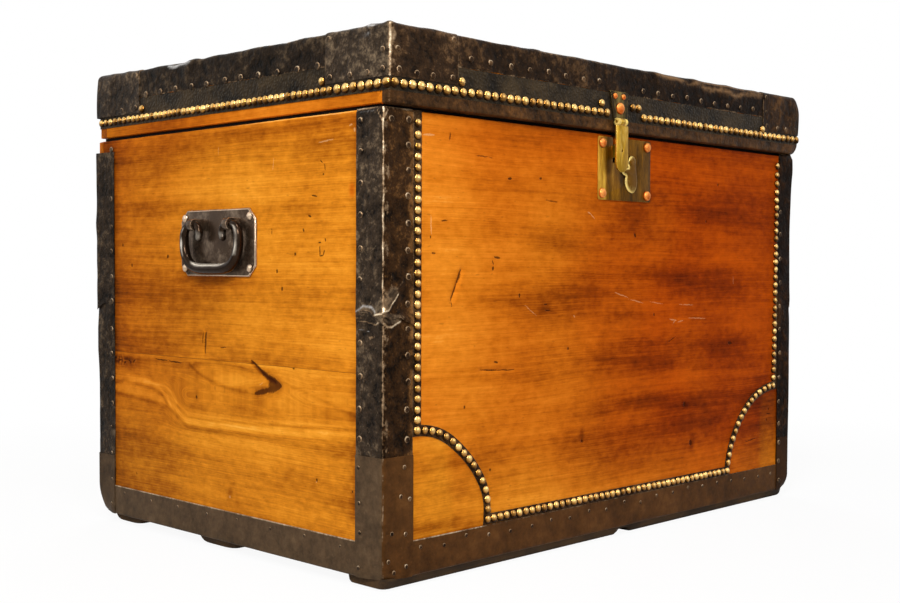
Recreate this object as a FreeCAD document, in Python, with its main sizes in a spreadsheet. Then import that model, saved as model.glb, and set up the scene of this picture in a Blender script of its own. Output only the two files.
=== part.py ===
"""Sea chest: a varnished board chest with sheet-iron bindings, brass nails and a hasp lock.

Frame: millimetres, +Z up, +X along the front, the front faces -Y.  The origin lies on the
floor under the centre of the carcase.
"""
import FreeCAD, Part
import math
import os
import re

import Sketcher
from FreeCAD import Placement, Rotation, Vector

SIZES = {
    # how far a cut runs past what it cuts
    "overshoot": 1,
    # carcase boards
    "carcase_length": 832, "carcase_depth": 570, "carcase_height": 500, "wall": 20,
    "corner_tongue": 12, "floor_board": 15, "floor_board_count": 6, "board_joint": 0.4,
    "side_seam_height": 230, "back_seam_height": 270,
    # skids under the floor
    "skid_height": 12, "front_skid_width": 62, "middle_skid_width": 88, "rear_skid_width": 70,
    "front_skid_inset": 3, "middle_skid_centre": 19, "rear_skid_inset": 33,
    "skid_end_inset": 5, "skid_round": 5, "skid_break": -6.4, "skid_break_gap": 6,
    "skid_taper": 55, "skid_ramp": 30, "skid_taper_rise": 7,
    # sheet-iron bindings on the carcase; lap and cap heights are above the floor
    "gauge": 1, "front_left_reach": 43.5, "front_right_reach": 33.5, "side_reach": 41,
    "back_reach": 41, "binding_lap_height": 293, "tall_cap_height": 143,
    "short_cap_height": 90, "bottom_binding_height": 38, "bottom_binding_flange": 18,
    # rows of brass nails on the front
    "nail_band": 12, "nail_band_gauge": 0.8, "front_nail": 9, "front_nail_rise": 2.8,
    "front_nail_pitch": 11.4, "left_column_inset": 50, "right_column_inset": 40,
    "column_top_gap": 10, "nail_row_height": 60, "left_arc_radius": 108,
    "right_arc_radius": 120, "right_arc_drop": 10,
    # lid
    "seam_gap": 4, "lid_height": 82, "lid_wall": 18, "lid_top_board": 14,
    "lid_board_count": 4, "lid_front_overhang": 7.5, "lid_left_overhang": -2,
    "lid_right_overhang": 7.5, "seal_width": 10, "seal_inset": 7, "seal_clearance": 0.3,
    "rim_strip": 12.8, "lower_strip": 34, "strip_joint": 0.2,
    "lid_band_fold": 25, "lid_cap_reach": 101, "lid_cap_height": 51,
    "lid_nail": 10.5, "lid_nail_rise": 3.4, "lid_nail_pitch": 12.8, "lid_nail_height": 20.5,
    "lid_nail_corner": 6, "nail_clearance": 1, "accent_nail_height": 31.5,
    "accent_left_offset": 38, "accent_right_offset": 27, "accent_nail_spacing": 11.5,
    # two stop hinges on the back
    "hinge_width": 50, "hinge_offset": 270, "hinge_leaf": 2, "knuckle_radius": 5,
    "hinge_pin_radius": 2.5, "pin_clearance": 0.05, "knuckle_gap": 0.3,
    "lower_leaf_length": 50, "upper_leaf_length": 42, "middle_knuckle": 17,
    "lid_opening_angle": 105, "stop_tail": 14, "stop_tail_root": 2.5,
    # hasp
    "hasp_centre": -20, "hasp_leaf_top": 36, "hasp_leaf_foot": 27, "hasp_leaf_height": 38,
    "hasp_leaf_lean": -4, "hasp_leaf_gauge": 2, "hasp_knuckle_radius": 4.5, "hasp_pin_radius": 2,
    "hasp_axis_height": 11, "hasp_middle_knuckle": 14, "strap_width": 28, "strap_gauge": 2.5,
    "strap_length": 63, "strap_hole_radius": 1.8, "strap_end_round": 13,
    "hasp_rivet": 15, "hasp_rivet_rise": 3, "hasp_rivet_height": 17,
    "hasp_small_rivet": 7.5, "hasp_small_rivet_rise": 2, "hasp_small_rivet_offset": 8.5,
    "hasp_small_rivet_drop": 6,
    "staple_thickness": 5, "staple_reach": 22.5, "staple_rise": 16, "staple_drop": 36,
    "staple_eye_length": 7, "staple_eye_height": 8, "staple_tip": 1.6,
    # lock
    "lock_centre": 1, "lock_plate_width": 110, "lock_plate_height": 79,
    "lock_plate_gauge": 1.5, "lock_plate_round": 3, "lock_plate_drop": 3.5,
    "lock_rivet": 13, "lock_rivet_rise": 3.5, "lock_rivet_inset": 8,
    "lock_case_width": 90, "lock_case_height": 64, "lock_case_depth": 14,
    "lock_case_wall": 1.5, "lock_case_drop": 8, "mortise_clearance": 0.5, "staple_slot": 9,
    "staple_swing_room": 6.5, "bolt_height": 6, "bolt_thickness": 4, "bolt_length": 46,
    "bolt_staple_gap": 2, "bolt_clearance": 0.3, "talon_width": 8,
    "talon_depth": 2.5, "key_room": 8, "key_centre": 11, "key_bore_radius": 4, "key_slot_width": 5,
    "key_bore_drop": 48, "key_slot_length": 11.5,
    # keyhole cover
    "cover_gauge": 1.6, "cover_gap": 0.3, "cover_head_radius": 7.5, "cover_lobe_radius": 17,
    "cover_lobe_drop": 22, "cover_pin_radius": 2, "cover_pin_head": 4, "cover_neck": 15,
    "cover_neck_rise": 8,
    "cover_pin_head_gauge": 1.5, "cover_pivot_drop": 34,
    # lifting handles on the sides
    "handle_centre": 7, "handle_height": 372.5, "handle_plate_length": 152,
    "handle_plate_height": 81, "handle_plate_gauge": 3, "handle_plate_corner": 13,
    "handle_plate_bevel": 1.2, "handle_standoff": 12, "handle_eye_drop": 22,
    "bail_length": 119, "bail_drop": 49, "grip_radius": 5.6, "bail_end_radius": 4,
    "grip_bend": 19, "shoulder_bend": 10, "bail_end_reach": 18, "eye_wall": 3,
    "eye_width": 9, "eye_clearance": 0.4, "handle_rivet": 9, "handle_rivet_rise": 2.5,
    "handle_rivet_inset": 10,
}

# Facets of the small round pieces.  A ring is a share of the radius and a share of the height.
NAIL_SIDES, RIVET_SIDES, BAIL_SIDES, BEND_STEPS = 5, 10, 10, 4
NAIL_RINGS = ((1, 0), (0.55, 1))
RIVET_RINGS = ((1, 0), (0.86, 0.5), (0.45, 1))
BAIL_TIP_RINGS = ((1, 0), (0.85, 0.5), (0.35, 1))

doc = FreeCAD.newDocument("SeaChest")
sheet = doc.addObject("Spreadsheet::Sheet", "Sizes")
for row, (alias, number) in enumerate(SIZES.items(), start=1):
    sheet.set(f"A{row}", alias)
    sheet.set(f"B{row}", str(number))
    sheet.setAlias(f"B{row}", alias)
doc.recompute()

nodes = []


# ---------------------------------------------------------------- helpers
def size(alias):
    """Read one driving dimension back from the sheet."""
    return float(sheet.get(alias))


def formula(text):
    """Spell a formula of aliases as an expression on the sheet."""
    return re.sub(r"[a-z][a-z_]+", lambda word: "Sizes." + word.group()
                  if word.group() in SIZES else word.group(), text)


def bind(thing, prop, text):
    thing.setExpression(prop, formula(text))


def place(thing, corner):
    for axis, text in zip("xyz", corner):
        bind(thing, f"Placement.Base.{axis}", text)


def node(thing, label):
    """Name the finished sub-part; its label names the file."""
    thing.Label = label
    nodes.append(thing)
    return thing


def block(corner, extent):
    """Box from its low corner and its three lengths, all formulas."""
    box = doc.addObject("Part::Box", "block")
    for prop, text in zip(("Length", "Width", "Height"), extent):
        bind(box, prop, text)
    place(box, corner)
    return box


TURNS = {"x": Rotation(Vector(0, 1, 0), 90), "y": Rotation(Vector(1, 0, 0), -90)}


def rod(start, along, radius, length):
    """Cylinder from its start point along the x or y axis."""
    cylinder = doc.addObject("Part::Cylinder", "rod")
    cylinder.Placement = Placement(Vector(), TURNS[along])
    bind(cylinder, "Radius", radius)
    bind(cylinder, "Height", length)
    place(cylinder, start)
    return cylinder


def cut(base, *tools):
    """Take one or more tools away from a base."""
    result = doc.addObject("Part::Cut", "cut")
    result.Base = base
    result.Tool = tools[0] if len(tools) == 1 else fuse(*tools)
    return result


def fuse(*pieces):
    result = doc.addObject("Part::MultiFuse", "fuse")
    result.Shapes = list(pieces)
    result.Refine = True
    return result


def group(*pieces):
    """Several separate solids in one node."""
    result = doc.addObject("Part::Compound", "group")
    result.Links = list(pieces)
    return result


def feature(shape, name):
    result = doc.addObject("Part::Feature", name)
    result.Shape = shape
    return result


def body_at(corner, name):
    body = doc.addObject("PartDesign::Body", name)
    place(body, corner)
    return body


def outline(body, role, corners):
    """Closed sketch of straight sides, each corner a pair of formulas from the body's origin."""
    sketch = body.newObject("Sketcher::SketchObject", "outline")
    plane = next(item for item in body.Origin.OriginFeatures if item.Role == role)
    sketch.AttachmentSupport = [(plane, "")]
    sketch.MapMode = "FlatFace"
    count = len(corners)
    ring = [Vector(math.cos(math.tau * i / count), math.sin(math.tau * i / count), 0)
            for i in range(count)]
    for i in range(count):
        sketch.addGeometry(Part.LineSegment(ring[i], ring[(i + 1) % count]))
    for i in range(count):
        sketch.addConstraint(Sketcher.Constraint("Coincident", i, 2, (i + 1) % count, 1))
    for i, corner in enumerate(corners):
        for kind, axis, text, start in zip(("DistanceX", "DistanceY"), (-2, -1), corner, ring[i]):
            if text == "0":
                sketch.addConstraint(Sketcher.Constraint("PointOnObject", i, 1, axis))
                continue
            index = sketch.addConstraint(Sketcher.Constraint(kind, -1, 1, i, 1, start))
            bind(sketch, f"Constraints[{index}]", text)
    return sketch


def pad(body, sketch, length, reverse=False):
    result = body.newObject("PartDesign::Pad", "pad")
    result.Profile = sketch
    result.Reversed = reverse
    bind(result, "Length", length)
    return result


def pocket(body, sketch, length, reverse=False):
    result = body.newObject("PartDesign::Pocket", "pocket")
    result.Profile = sketch
    result.Reversed = reverse
    bind(result, "Length", length)
    return result


def dress(body, kind, prop, text, chosen):
    """Fillet or chamfer the edges of the body's last feature that a test picks."""
    doc.recompute()
    base = body.Tip
    names = [f"Edge{i}" for i, edge in enumerate(base.Shape.Edges, start=1) if chosen(edge)]
    result = body.newObject("PartDesign::" + kind, kind.lower())
    result.Base = (base, names)
    bind(result, prop, text)
    return result


def runs_along(axis):
    """Test for straight edges parallel to one axis."""
    def test(edge):
        ends = [vertex.Point for vertex in edge.Vertexes]
        return len(ends) == 2 and (ends[1] - ends[0]).cross(axis).Length < TOLERANCE
    return test


TOLERANCE = 0.001
ALONG_X, ALONG_Y = runs_along(Vector(1, 0, 0)), runs_along(Vector(0, 1, 0))


def times(sign, text):
    return "0" if text == "0" else f"{sign} * ({text})"


def ring_of_points(radius, sides, height=0.0):
    return [Vector(radius * math.cos(math.tau * (i + 0.5) / sides),
                   radius * math.sin(math.tau * (i + 0.5) / sides), height) for i in range(sides)]


def faceted(rings):
    """Closed solid of flat faces between rings of points that all run the same way round."""
    faces = [Part.Face(Part.makePolygon(ring + ring[:1])) for ring in (rings[0], rings[-1])]
    for near, far in zip(rings, rings[1:]):
        for i in range(len(near)):
            j = (i + 1) % len(near)
            faces.append(Part.Face(Part.makePolygon([near[i], near[j], far[j], far[i], near[i]])))
    solid = Part.Solid(Part.Shell(faces))
    if solid.Volume < 0:
        solid.reverse()
    return solid


def dome(diameter, rise, sides, rings):
    """Low dome that stands on z = 0."""
    return faceted([ring_of_points(diameter / 2 * across, sides, rise * up)
                    for across, up in rings])


def nail_head(diameter, rise):
    """Head of a nail; its shank stays in the wood."""
    return dome(diameter, rise, NAIL_SIDES, NAIL_RINGS)


def rivet_head(diameter, rise):
    return dome(diameter, rise, RIVET_SIDES, RIVET_RINGS)


FACING = {"front": Rotation(Vector(1, 0, 0), 90), "left": Rotation(Vector(0, 1, 0), -90),
          "right": Rotation(Vector(0, 1, 0), 90)}


def heads(head, facing, points):
    """Copies of a head, each with its base at a point and its crown facing outwards."""
    copies = []
    for point in points:
        copy = head.copy()
        copy.Placement = Placement(point, FACING[facing])
        copies.append(copy)
    return copies


# ---------------------------------------------------------------- shared places
FRONT = "carcase_depth / 2"
SIDE = "carcase_length / 2"
BODY_TOP = "(skid_height + carcase_height)"
LID_BOTTOM = "(skid_height + carcase_height + seam_gap)"
LID_TOP = "(skid_height + carcase_height + seam_gap + lid_height)"
LID_FRONT = "(carcase_depth / 2 + lid_front_overhang)"
LID_LEFT = "(carcase_length / 2 + lid_left_overhang)"
LID_RIGHT = "(carcase_length / 2 + lid_right_overhang)"
LID_LENGTH = "(carcase_length + lid_left_overhang + lid_right_overhang)"
LID_DEPTH = "(carcase_depth + lid_front_overhang)"
STRIP_BOTTOM = f"({LID_BOTTOM} + rim_strip + strip_joint)"
BAND_BOTTOM = f"({STRIP_BOTTOM} + lower_strip + strip_joint)"


# ---------------------------------------------------------------- carcase boards
def end_rebates(front):
    """Rebates inside both ends of the front or back panel, where the side boards enter."""
    low = f"-{FRONT} + corner_tongue" if front else f"{FRONT} - wall"
    return [block((x, low, "skid_height"), ("wall", "wall - corner_tongue", "carcase_height"))
            for x in (f"-{SIDE}", f"{SIDE} - wall")]


def build_front_panel():
    panel = block((f"-{SIDE}", f"-{FRONT}", "skid_height"),
                  ("carcase_length", "wall", "carcase_height"))
    mortise_depth = "lock_case_depth + mortise_clearance"
    mortise = block(("lock_centre - lock_case_width / 2 - mortise_clearance", f"-{FRONT}",
                     CASE_BOTTOM + " - mortise_clearance"),
                    ("lock_case_width + 2 * mortise_clearance", mortise_depth,
                     "lock_case_height + 2 * mortise_clearance"))
    notch = block(("hasp_centre - staple_slot / 2", f"-{FRONT}", CASE_BOTTOM),
                  ("staple_slot", mortise_depth, f"{BODY_TOP} - {CASE_BOTTOM}"))
    node(cut(panel, *end_rebates(True), mortise, notch), "front_panel")


def build_back_panel():
    lower = block((f"-{SIDE}", f"{FRONT} - wall", "skid_height"),
                  ("carcase_length", "wall", "back_seam_height - skid_height"))
    upper = block((f"-{SIDE}", f"{FRONT} - wall", "back_seam_height + board_joint"),
                  ("carcase_length", "wall", f"{BODY_TOP} - back_seam_height - board_joint"))
    node(cut(group(lower, upper), *end_rebates(False)), "back_panel")


def build_side_boards():
    for label, x in (("left_side_boards", f"-{SIDE}"), ("right_side_boards", f"{SIDE} - wall")):
        depth = "carcase_depth - 2 * corner_tongue"
        low = f"-{FRONT} + corner_tongue"
        lower = block((x, low, "skid_height"), ("wall", depth, "side_seam_height - skid_height"))
        upper = block((x, low, "side_seam_height + board_joint"),
                      ("wall", depth, f"{BODY_TOP} - side_seam_height - board_joint"))
        node(group(lower, upper), label)


def build_bottom_boards():
    count = int(size("floor_board_count"))
    width = "((carcase_length - 2 * wall) / floor_board_count - board_joint)"
    boards = [block((f"-{SIDE} + wall + {i} * ({width} + board_joint) + board_joint / 2",
                     f"-{FRONT} + wall", "skid_height"),
                    (width, "carcase_depth - 2 * wall", "floor_board")) for i in range(count)]
    node(group(*boards), "bottom_boards")


# ---------------------------------------------------------------- skids
def flange_recess():
    """Shallow ring let into the skids for the flange of the bottom bindings."""
    outer = block((f"-{SIDE} - gauge", f"-{FRONT} - gauge", "skid_height - gauge"),
                  ("carcase_length + 2 * gauge", "carcase_depth + 2 * gauge", "gauge"))
    inner = block((f"-{SIDE} + bottom_binding_flange", f"-{FRONT} + bottom_binding_flange",
                   "skid_height - gauge"),
                  ("carcase_length - 2 * bottom_binding_flange",
                   "carcase_depth - 2 * bottom_binding_flange", "gauge"))
    return cut(outer, inner)


def skid_bar(start, low, length, width):
    """Plank with both lower long edges rounded over."""
    body = body_at((start, low, "0"), "skid")
    section = outline(body, "YZ_Plane", [("0", "0"), (width, "0"), (width, "skid_height"),
                                         ("0", "skid_height")])
    pad(body, section, length)

    def lower_edges(edge):
        return ALONG_X(edge) and edge.BoundBox.ZMax < TOLERANCE
    dress(body, "Fillet", "Radius", "skid_round", lower_edges)
    return body


def skid_wedge(tip, run, low, width):
    """Wedge cut from under a skid's end; it is deepest at the tip."""
    body = body_at((tip, f"{low} + {width}", "0"), "wedge")
    side = outline(body, "XZ_Plane", [("0", "0"), (run, "0"), ("0", "skid_taper_rise")])
    pad(body, side, width)
    return body


def build_skids():
    recess = flange_recess()
    left = f"-{SIDE} + skid_end_inset"
    full = "(carcase_length - 2 * skid_end_inset)"
    low, width = f"(-{FRONT} + front_skid_inset)", "front_skid_width"
    left_end = "(skid_break - skid_break_gap / 2)"
    right_start = "(skid_break + skid_break_gap / 2)"
    left_piece = cut(skid_bar(left, low, f"{left_end} + {SIDE} - skid_end_inset", width),
                     skid_wedge(left_end, "-1 * skid_taper", low, width), recess)
    right_piece = cut(skid_bar(right_start, low, f"{SIDE} - skid_end_inset - {right_start}", width),
                      skid_wedge(right_start, "skid_ramp", low, width), recess)
    node(group(left_piece, right_piece), "skid_front")
    for label, low, width in (
            ("skid_middle", "middle_skid_centre - middle_skid_width / 2", "middle_skid_width"),
            ("skid_rear", f"{FRONT} - rear_skid_inset - rear_skid_width", "rear_skid_width")):
        node(cut(skid_bar(left, low, full, width), recess), label)


# ---------------------------------------------------------------- bindings on the carcase
CORNERS = (("front_left", -1, -1), ("front_right", 1, -1), ("back_left", -1, 1),
           ("back_right", 1, 1))
REACH_ALONG_X = {"front_left": "front_left_reach", "front_right": "front_right_reach",
                 "back_left": "back_reach", "back_right": "back_reach"}


def corner_angle(sx, sy, corner, reach, offset, low, height):
    """Angle of sheet round a vertical corner, standing off the wood by an offset."""
    body = body_at((*corner, low), "angle")
    outside = f"{offset} + gauge" if offset != "0" else "gauge"
    reach_x, reach_y = (f"-1 * ({text})" for text in reach)
    points = ((outside, outside), (reach_x, outside), (reach_x, offset), (offset, offset),
              (offset, reach_y), (outside, reach_y))
    section = outline(body, "XY_Plane", [(times(sx, x), times(sy, y)) for x, y in points])
    pad(body, section, height)
    return body


def build_corner_bindings():
    start = "(skid_height + bottom_binding_height + strip_joint)"
    upper_start = "(binding_lap_height + board_joint)"
    for name, sx, sy in CORNERS:
        corner = (times(sx, SIDE), times(sy, FRONT))
        reach = (REACH_ALONG_X[name], "side_reach")
        pieces = [corner_angle(sx, sy, corner, reach, "0", start, f"binding_lap_height - {start}"),
                  corner_angle(sx, sy, corner, reach, "0", upper_start, f"{BODY_TOP} - {upper_start}")]
        node(group(*pieces), f"corner_binding_{name}")
        top = "tall_cap_height" if name == "front_left" else "short_cap_height"
        low = "(skid_height - gauge)"
        cap = corner_angle(sx, sy, corner, reach, "gauge", low, f"{top} - {low}")
        node(cap, f"corner_cap_{name}")


def build_bottom_bindings():
    """Angles along the lower edges: an upright strip and a flange under the boards."""
    low = "skid_height - gauge"
    tall = "bottom_binding_height + gauge"
    for label, y, flange_y in (
            ("bottom_binding_front", f"-{FRONT} - gauge", f"-{FRONT} - gauge"),
            ("bottom_binding_back", FRONT, f"{FRONT} - bottom_binding_flange")):
        upright = block((f"-{SIDE} - gauge", y, low), ("carcase_length + 2 * gauge", "gauge", tall))
        flange = block((f"-{SIDE}", flange_y, low),
                       ("carcase_length", "bottom_binding_flange + gauge", "gauge"))
        node(fuse(upright, flange), label)
    for label, x, flange_x in (
            ("bottom_binding_left", f"-{SIDE} - gauge", f"-{SIDE} - gauge"),
            ("bottom_binding_right", SIDE, f"{SIDE} - bottom_binding_flange")):
        upright = block((x, f"-{FRONT}", low), ("gauge", "carcase_depth", tall))
        flange = block((flange_x, f"-{FRONT} + bottom_binding_flange", low),
                       ("bottom_binding_flange + gauge",
                        "carcase_depth - 2 * bottom_binding_flange", "gauge"))
        node(fuse(upright, flange), label)


# ---------------------------------------------------------------- nails on the front
def arc_place(side):
    """Centre x, centre z, radius and sense of the nail arc at one lower corner."""
    half = size("carcase_length") / 2
    row = size("nail_row_height")
    if side == "left":
        return -half + size("left_column_inset"), row, size("left_arc_radius"), 1
    return (half - size("right_column_inset"), row - size("right_arc_drop"),
            size("right_arc_radius"), -1)


def row_angle(side):
    """Angle above the arc's level centre line at which the arc meets the nail row."""
    centre_z, radius = arc_place(side)[1:3]
    return math.asin((size("nail_row_height") - centre_z) / radius)


def build_nail_band():
    """One dark strip under the nails: two columns, two quarter arcs and the row between."""
    wide, thick = size("nail_band"), size("nail_band_gauge")
    back = -size("carcase_depth") / 2
    top = size("skid_height") + size("carcase_height")
    row = size("nail_row_height")
    strips, ends = [], []
    for side in ("left", "right"):
        x, z, radius, sense = arc_place(side)
        crown = z + radius
        strips.append(Part.makeBox(wide, thick, top - crown + wide / 2,
                                   Vector(x - wide / 2, back - thick, crown - wide / 2)))
        ring = Part.makeCylinder(radius + wide / 2, thick, Vector(x, back, z), Vector(0, -1, 0))
        ring = ring.cut(Part.makeCylinder(radius - wide / 2, thick, Vector(x, back, z),
                                          Vector(0, -1, 0)))
        reach = radius + wide
        low = row - wide / 2
        window = Part.makeBox(reach, thick, reach + z - low,
                              Vector(x if sense > 0 else x - reach, back - thick, low))
        strips.append(ring.common(window))
        ends.append(x + sense * radius * math.cos(row_angle(side)))
    strips.append(Part.makeBox(ends[1] - ends[0], thick, wide,
                               Vector(ends[0], back - thick, row - wide / 2)))
    band = strips[0].multiFuse(strips[1:]).removeSplitter()
    node(feature(band.Solids[0], "band"), "front_nail_band")


def build_front_nails():
    """Columns from the top down, the two arcs, and the row between the arcs."""
    pitch = size("front_nail_pitch")
    face = -size("carcase_depth") / 2 - size("nail_band_gauge")
    top = size("skid_height") + size("carcase_height") - size("column_top_gap")
    points, ends = [], []
    for side in ("left", "right"):
        x, z, radius, sense = arc_place(side)
        steps = round((top - z - radius) / pitch)
        step = (top - z - radius) / steps
        points += [Vector(x, face, top - i * step) for i in range(steps + 1)]
        start, sweep = math.pi / 2, math.pi / 2 - row_angle(side)
        count = round(radius * sweep / pitch)
        for i in range(1, count + 1):
            angle = start - sweep * i / count
            points.append(Vector(x + sense * radius * math.cos(angle), face,
                                 z + radius * math.sin(angle)))
        ends.append(x + sense * radius * math.cos(row_angle(side)))
    count = round((ends[1] - ends[0]) / pitch)
    step = (ends[1] - ends[0]) / count
    points += [Vector(ends[0] + i * step, face, size("nail_row_height")) for i in range(1, count)]
    head = nail_head(size("front_nail"), size("front_nail_rise"))
    node(feature(Part.makeCompound(heads(head, "front", points)), "nails"), "front_nails")


# ---------------------------------------------------------------- lid
def build_lid_boards():
    frame_height = "lid_height - lid_top_board"
    for label, y in (("lid_front_board", f"-{LID_FRONT}"), ("lid_back_board", f"{FRONT} - lid_wall")):
        node(block((f"-{LID_LEFT}", y, LID_BOTTOM), (LID_LENGTH, "lid_wall", frame_height)), label)
    for label, x in (("lid_left_board", f"-{LID_LEFT}"), ("lid_right_board", f"{LID_RIGHT} - lid_wall")):
        node(block((x, f"-{LID_FRONT} + lid_wall", LID_BOTTOM),
                   ("lid_wall", f"{LID_DEPTH} - 2 * lid_wall", frame_height)), label)
    count = int(size("lid_board_count"))
    width = f"({LID_DEPTH} / lid_board_count - board_joint)"
    boards = [block((f"-{LID_LEFT}", f"-{LID_FRONT} + {i} * ({width} + board_joint)"
                     " + board_joint / 2", f"{LID_TOP} - lid_top_board"),
                    (LID_LENGTH, width, "lid_top_board")) for i in range(count)]
    node(group(*boards), "lid_top_boards")


def build_lid_bands():
    """Upper bands: an upright strip and a fold over the top edge."""
    tall = f"{LID_TOP} + gauge - {BAND_BOTTOM}"
    for label, y, fold_y in (
            ("lid_band_front", f"-{LID_FRONT} - gauge", f"-{LID_FRONT} - gauge"),
            ("lid_band_back", FRONT, f"{FRONT} - lid_band_fold")):
        upright = block((f"-{LID_LEFT} - gauge", y, BAND_BOTTOM),
                        (f"{LID_LENGTH} + 2 * gauge", "gauge", tall))
        fold = block((f"-{LID_LEFT}", fold_y, LID_TOP), (LID_LENGTH, "lid_band_fold + gauge", "gauge"))
        node(fuse(upright, fold), label)
    for label, x, fold_x in (
            ("lid_band_left", f"-{LID_LEFT} - gauge", f"-{LID_LEFT} - gauge"),
            ("lid_band_right", LID_RIGHT, f"{LID_RIGHT} - lid_band_fold")):
        upright = block((x, f"-{LID_FRONT}", BAND_BOTTOM), ("gauge", LID_DEPTH, tall))
        fold = block((fold_x, f"-{LID_FRONT} + lid_band_fold", LID_TOP),
                     ("lid_band_fold + gauge", f"{LID_DEPTH} - 2 * lid_band_fold", "gauge"))
        node(fuse(upright, fold), label)


def build_lid_strips():
    front = block((f"-{LID_LEFT} - gauge", f"-{LID_FRONT} - gauge", STRIP_BOTTOM),
                  (f"{LID_LENGTH} + 2 * gauge", "gauge", "lower_strip"))
    sides = [block((x, f"-{LID_FRONT}", STRIP_BOTTOM), ("gauge", LID_DEPTH, "lower_strip"))
             for x in (f"-{LID_LEFT} - gauge", LID_RIGHT)]
    node(group(front, *sides), "lid_lower_strips")
    node(block((f"-{LID_LEFT}", f"-{LID_FRONT} - gauge", LID_BOTTOM),
               (LID_LENGTH, "gauge", "rim_strip")), "lid_front_rim_strip")


def build_rim_seal():
    """Dark strips on the carcase's rim that the closed lid rests on, open at the staple."""
    tall = "seam_gap - seal_clearance"
    long_x, long_length = f"-{SIDE} + seal_inset", "carcase_length - 2 * seal_inset"
    notch = block(("hasp_centre - staple_slot / 2", f"-{FRONT}", BODY_TOP),
                  ("staple_slot", "wall", tall))
    front = block((long_x, f"-{FRONT} + seal_inset", BODY_TOP), (long_length, "seal_width", tall))
    back = block((long_x, f"{FRONT} - seal_inset - seal_width", BODY_TOP),
                 (long_length, "seal_width", tall))
    sides = [block((x, f"-{FRONT} + seal_inset + seal_width", BODY_TOP),
                   ("seal_width", "carcase_depth - 2 * (seal_inset + seal_width)", tall))
             for x in (long_x, f"{SIDE} - seal_inset - seal_width")]
    node(group(cut(front, notch), back, *sides), "rim_seal")


def build_lid_caps():
    """Sheet caps over the four upper corners: an angle closed by a square on top."""
    low = f"({LID_TOP} + 2 * gauge - lid_cap_height)"
    span = "lid_cap_reach + 2 * gauge"
    for name, sx, sy in CORNERS:
        edge_x = LID_LEFT if sx < 0 else LID_RIGHT
        edge_y = LID_FRONT if sy < 0 else FRONT
        angle = corner_angle(sx, sy, (times(sx, edge_x), times(sy, edge_y)),
                             ("lid_cap_reach", "lid_cap_reach"), "gauge", low, "lid_cap_height")
        x = f"-{edge_x} - 2 * gauge" if sx < 0 else f"{edge_x} - lid_cap_reach"
        y = f"-{edge_y} - 2 * gauge" if sy < 0 else f"{edge_y} - lid_cap_reach"
        top = block((x, y, f"{LID_TOP} + gauge"), (span, span, "gauge"))
        node(fuse(angle, top), f"lid_cap_{name}")


def build_lid_nails():
    """One row on the front, left and right; the front row breaks at the hasp."""
    pitch, gauge = size("lid_nail_pitch"), size("gauge")
    bottom = size("skid_height") + size("carcase_height") + size("seam_gap")
    z, high = bottom + size("lid_nail_height"), bottom + size("accent_nail_height")
    left = -size("carcase_length") / 2 - size("lid_left_overhang")
    right = size("carcase_length") / 2 + size("lid_right_overhang")
    front = -size("carcase_depth") / 2 - size("lid_front_overhang")
    back = size("carcase_depth") / 2
    corner = size("lid_nail_corner")

    def row(start, end):
        count = round((end - start) / pitch)
        return [start + (end - start) * i / count for i in range(count + 1)]

    hasp = size("hasp_centre")
    clear = size("hasp_leaf_top") / 2 + size("lid_nail") / 2 + size("nail_clearance")
    front_row = [x for x in row(left + corner, right - corner) if abs(x - hasp) > clear]
    side_row = row(front + corner, back - corner)
    head = nail_head(size("lid_nail"), size("lid_nail_rise"))
    nails = heads(head, "front", [Vector(x, front - gauge, z) for x in front_row])
    nails += heads(head, "left", [Vector(left - gauge, y, z) for y in side_row])
    nails += heads(head, "right", [Vector(right + gauge, y, z) for y in side_row])

    beside_cap = size("lid_cap_reach") + size("lid_nail") / 2 + size("nail_clearance")
    beside_hasp = hasp + size("accent_right_offset")
    accents = (left + beside_cap, hasp - size("accent_left_offset"), beside_hasp,
               beside_hasp + size("accent_nail_spacing"), right - beside_cap)
    nails += heads(head, "front", [Vector(x, front - gauge, high) for x in accents])
    for facing, x in (("left", left - gauge), ("right", right + gauge)):
        nails += heads(head, facing, [Vector(x, front + beside_cap, high),
                                      Vector(x, back - beside_cap, high)])
    node(feature(Part.makeCompound(nails), "nails"), "lid_nails")


# ---------------------------------------------------------------- stop hinges
HINGE_Y = "(carcase_depth / 2 + knuckle_radius)"
HINGE_Z = "(skid_height + carcase_height + seam_gap / 2)"


def hinge_barrel(x, radius):
    return rod((f"{x} - hinge_width / 2", HINGE_Y, HINGE_Z), "x", radius, "hinge_width")


def knuckle_room(start, width):
    """Room round the barrel for the other leaf's knuckle."""
    reach = "(knuckle_radius + knuckle_gap)"
    return block((start, f"{FRONT} - overshoot", f"{HINGE_Z} - {reach}"),
                 (width, f"2 * {reach} + overshoot", f"2 * {reach}"))


def outer_rooms(room, left, centre, width, middle):
    """Rooms at both ends of a barrel of a given width, where the outer knuckles turn."""
    length = f"({width} - {middle}) / 2 + knuckle_gap + overshoot"
    return [room(f"{left} - overshoot", length),
            room(f"{centre} + {middle} / 2 - knuckle_gap", length)]


def stop_tail(x):
    """Tail on the lid leaf; at full opening it lies flat on the carcase leaf."""
    radius, leaf, gap = size("knuckle_radius"), size("hinge_leaf"), size("pin_clearance")
    width = size("middle_knuckle") - 2 * size("knuckle_gap")
    length = size("stop_tail")
    tail = Part.makeBox(width, radius - leaf - gap, length - size("stop_tail_root"),
                        Vector(x - width / 2, leaf - radius + gap, -length))
    tail.rotate(Vector(), Vector(1, 0, 0), size("lid_opening_angle"))
    axis_z = size("skid_height") + size("carcase_height") + size("seam_gap") / 2
    tail.translate(Vector(0, size("carcase_depth") / 2 + radius, axis_z))
    return feature(tail, "tail")


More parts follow.
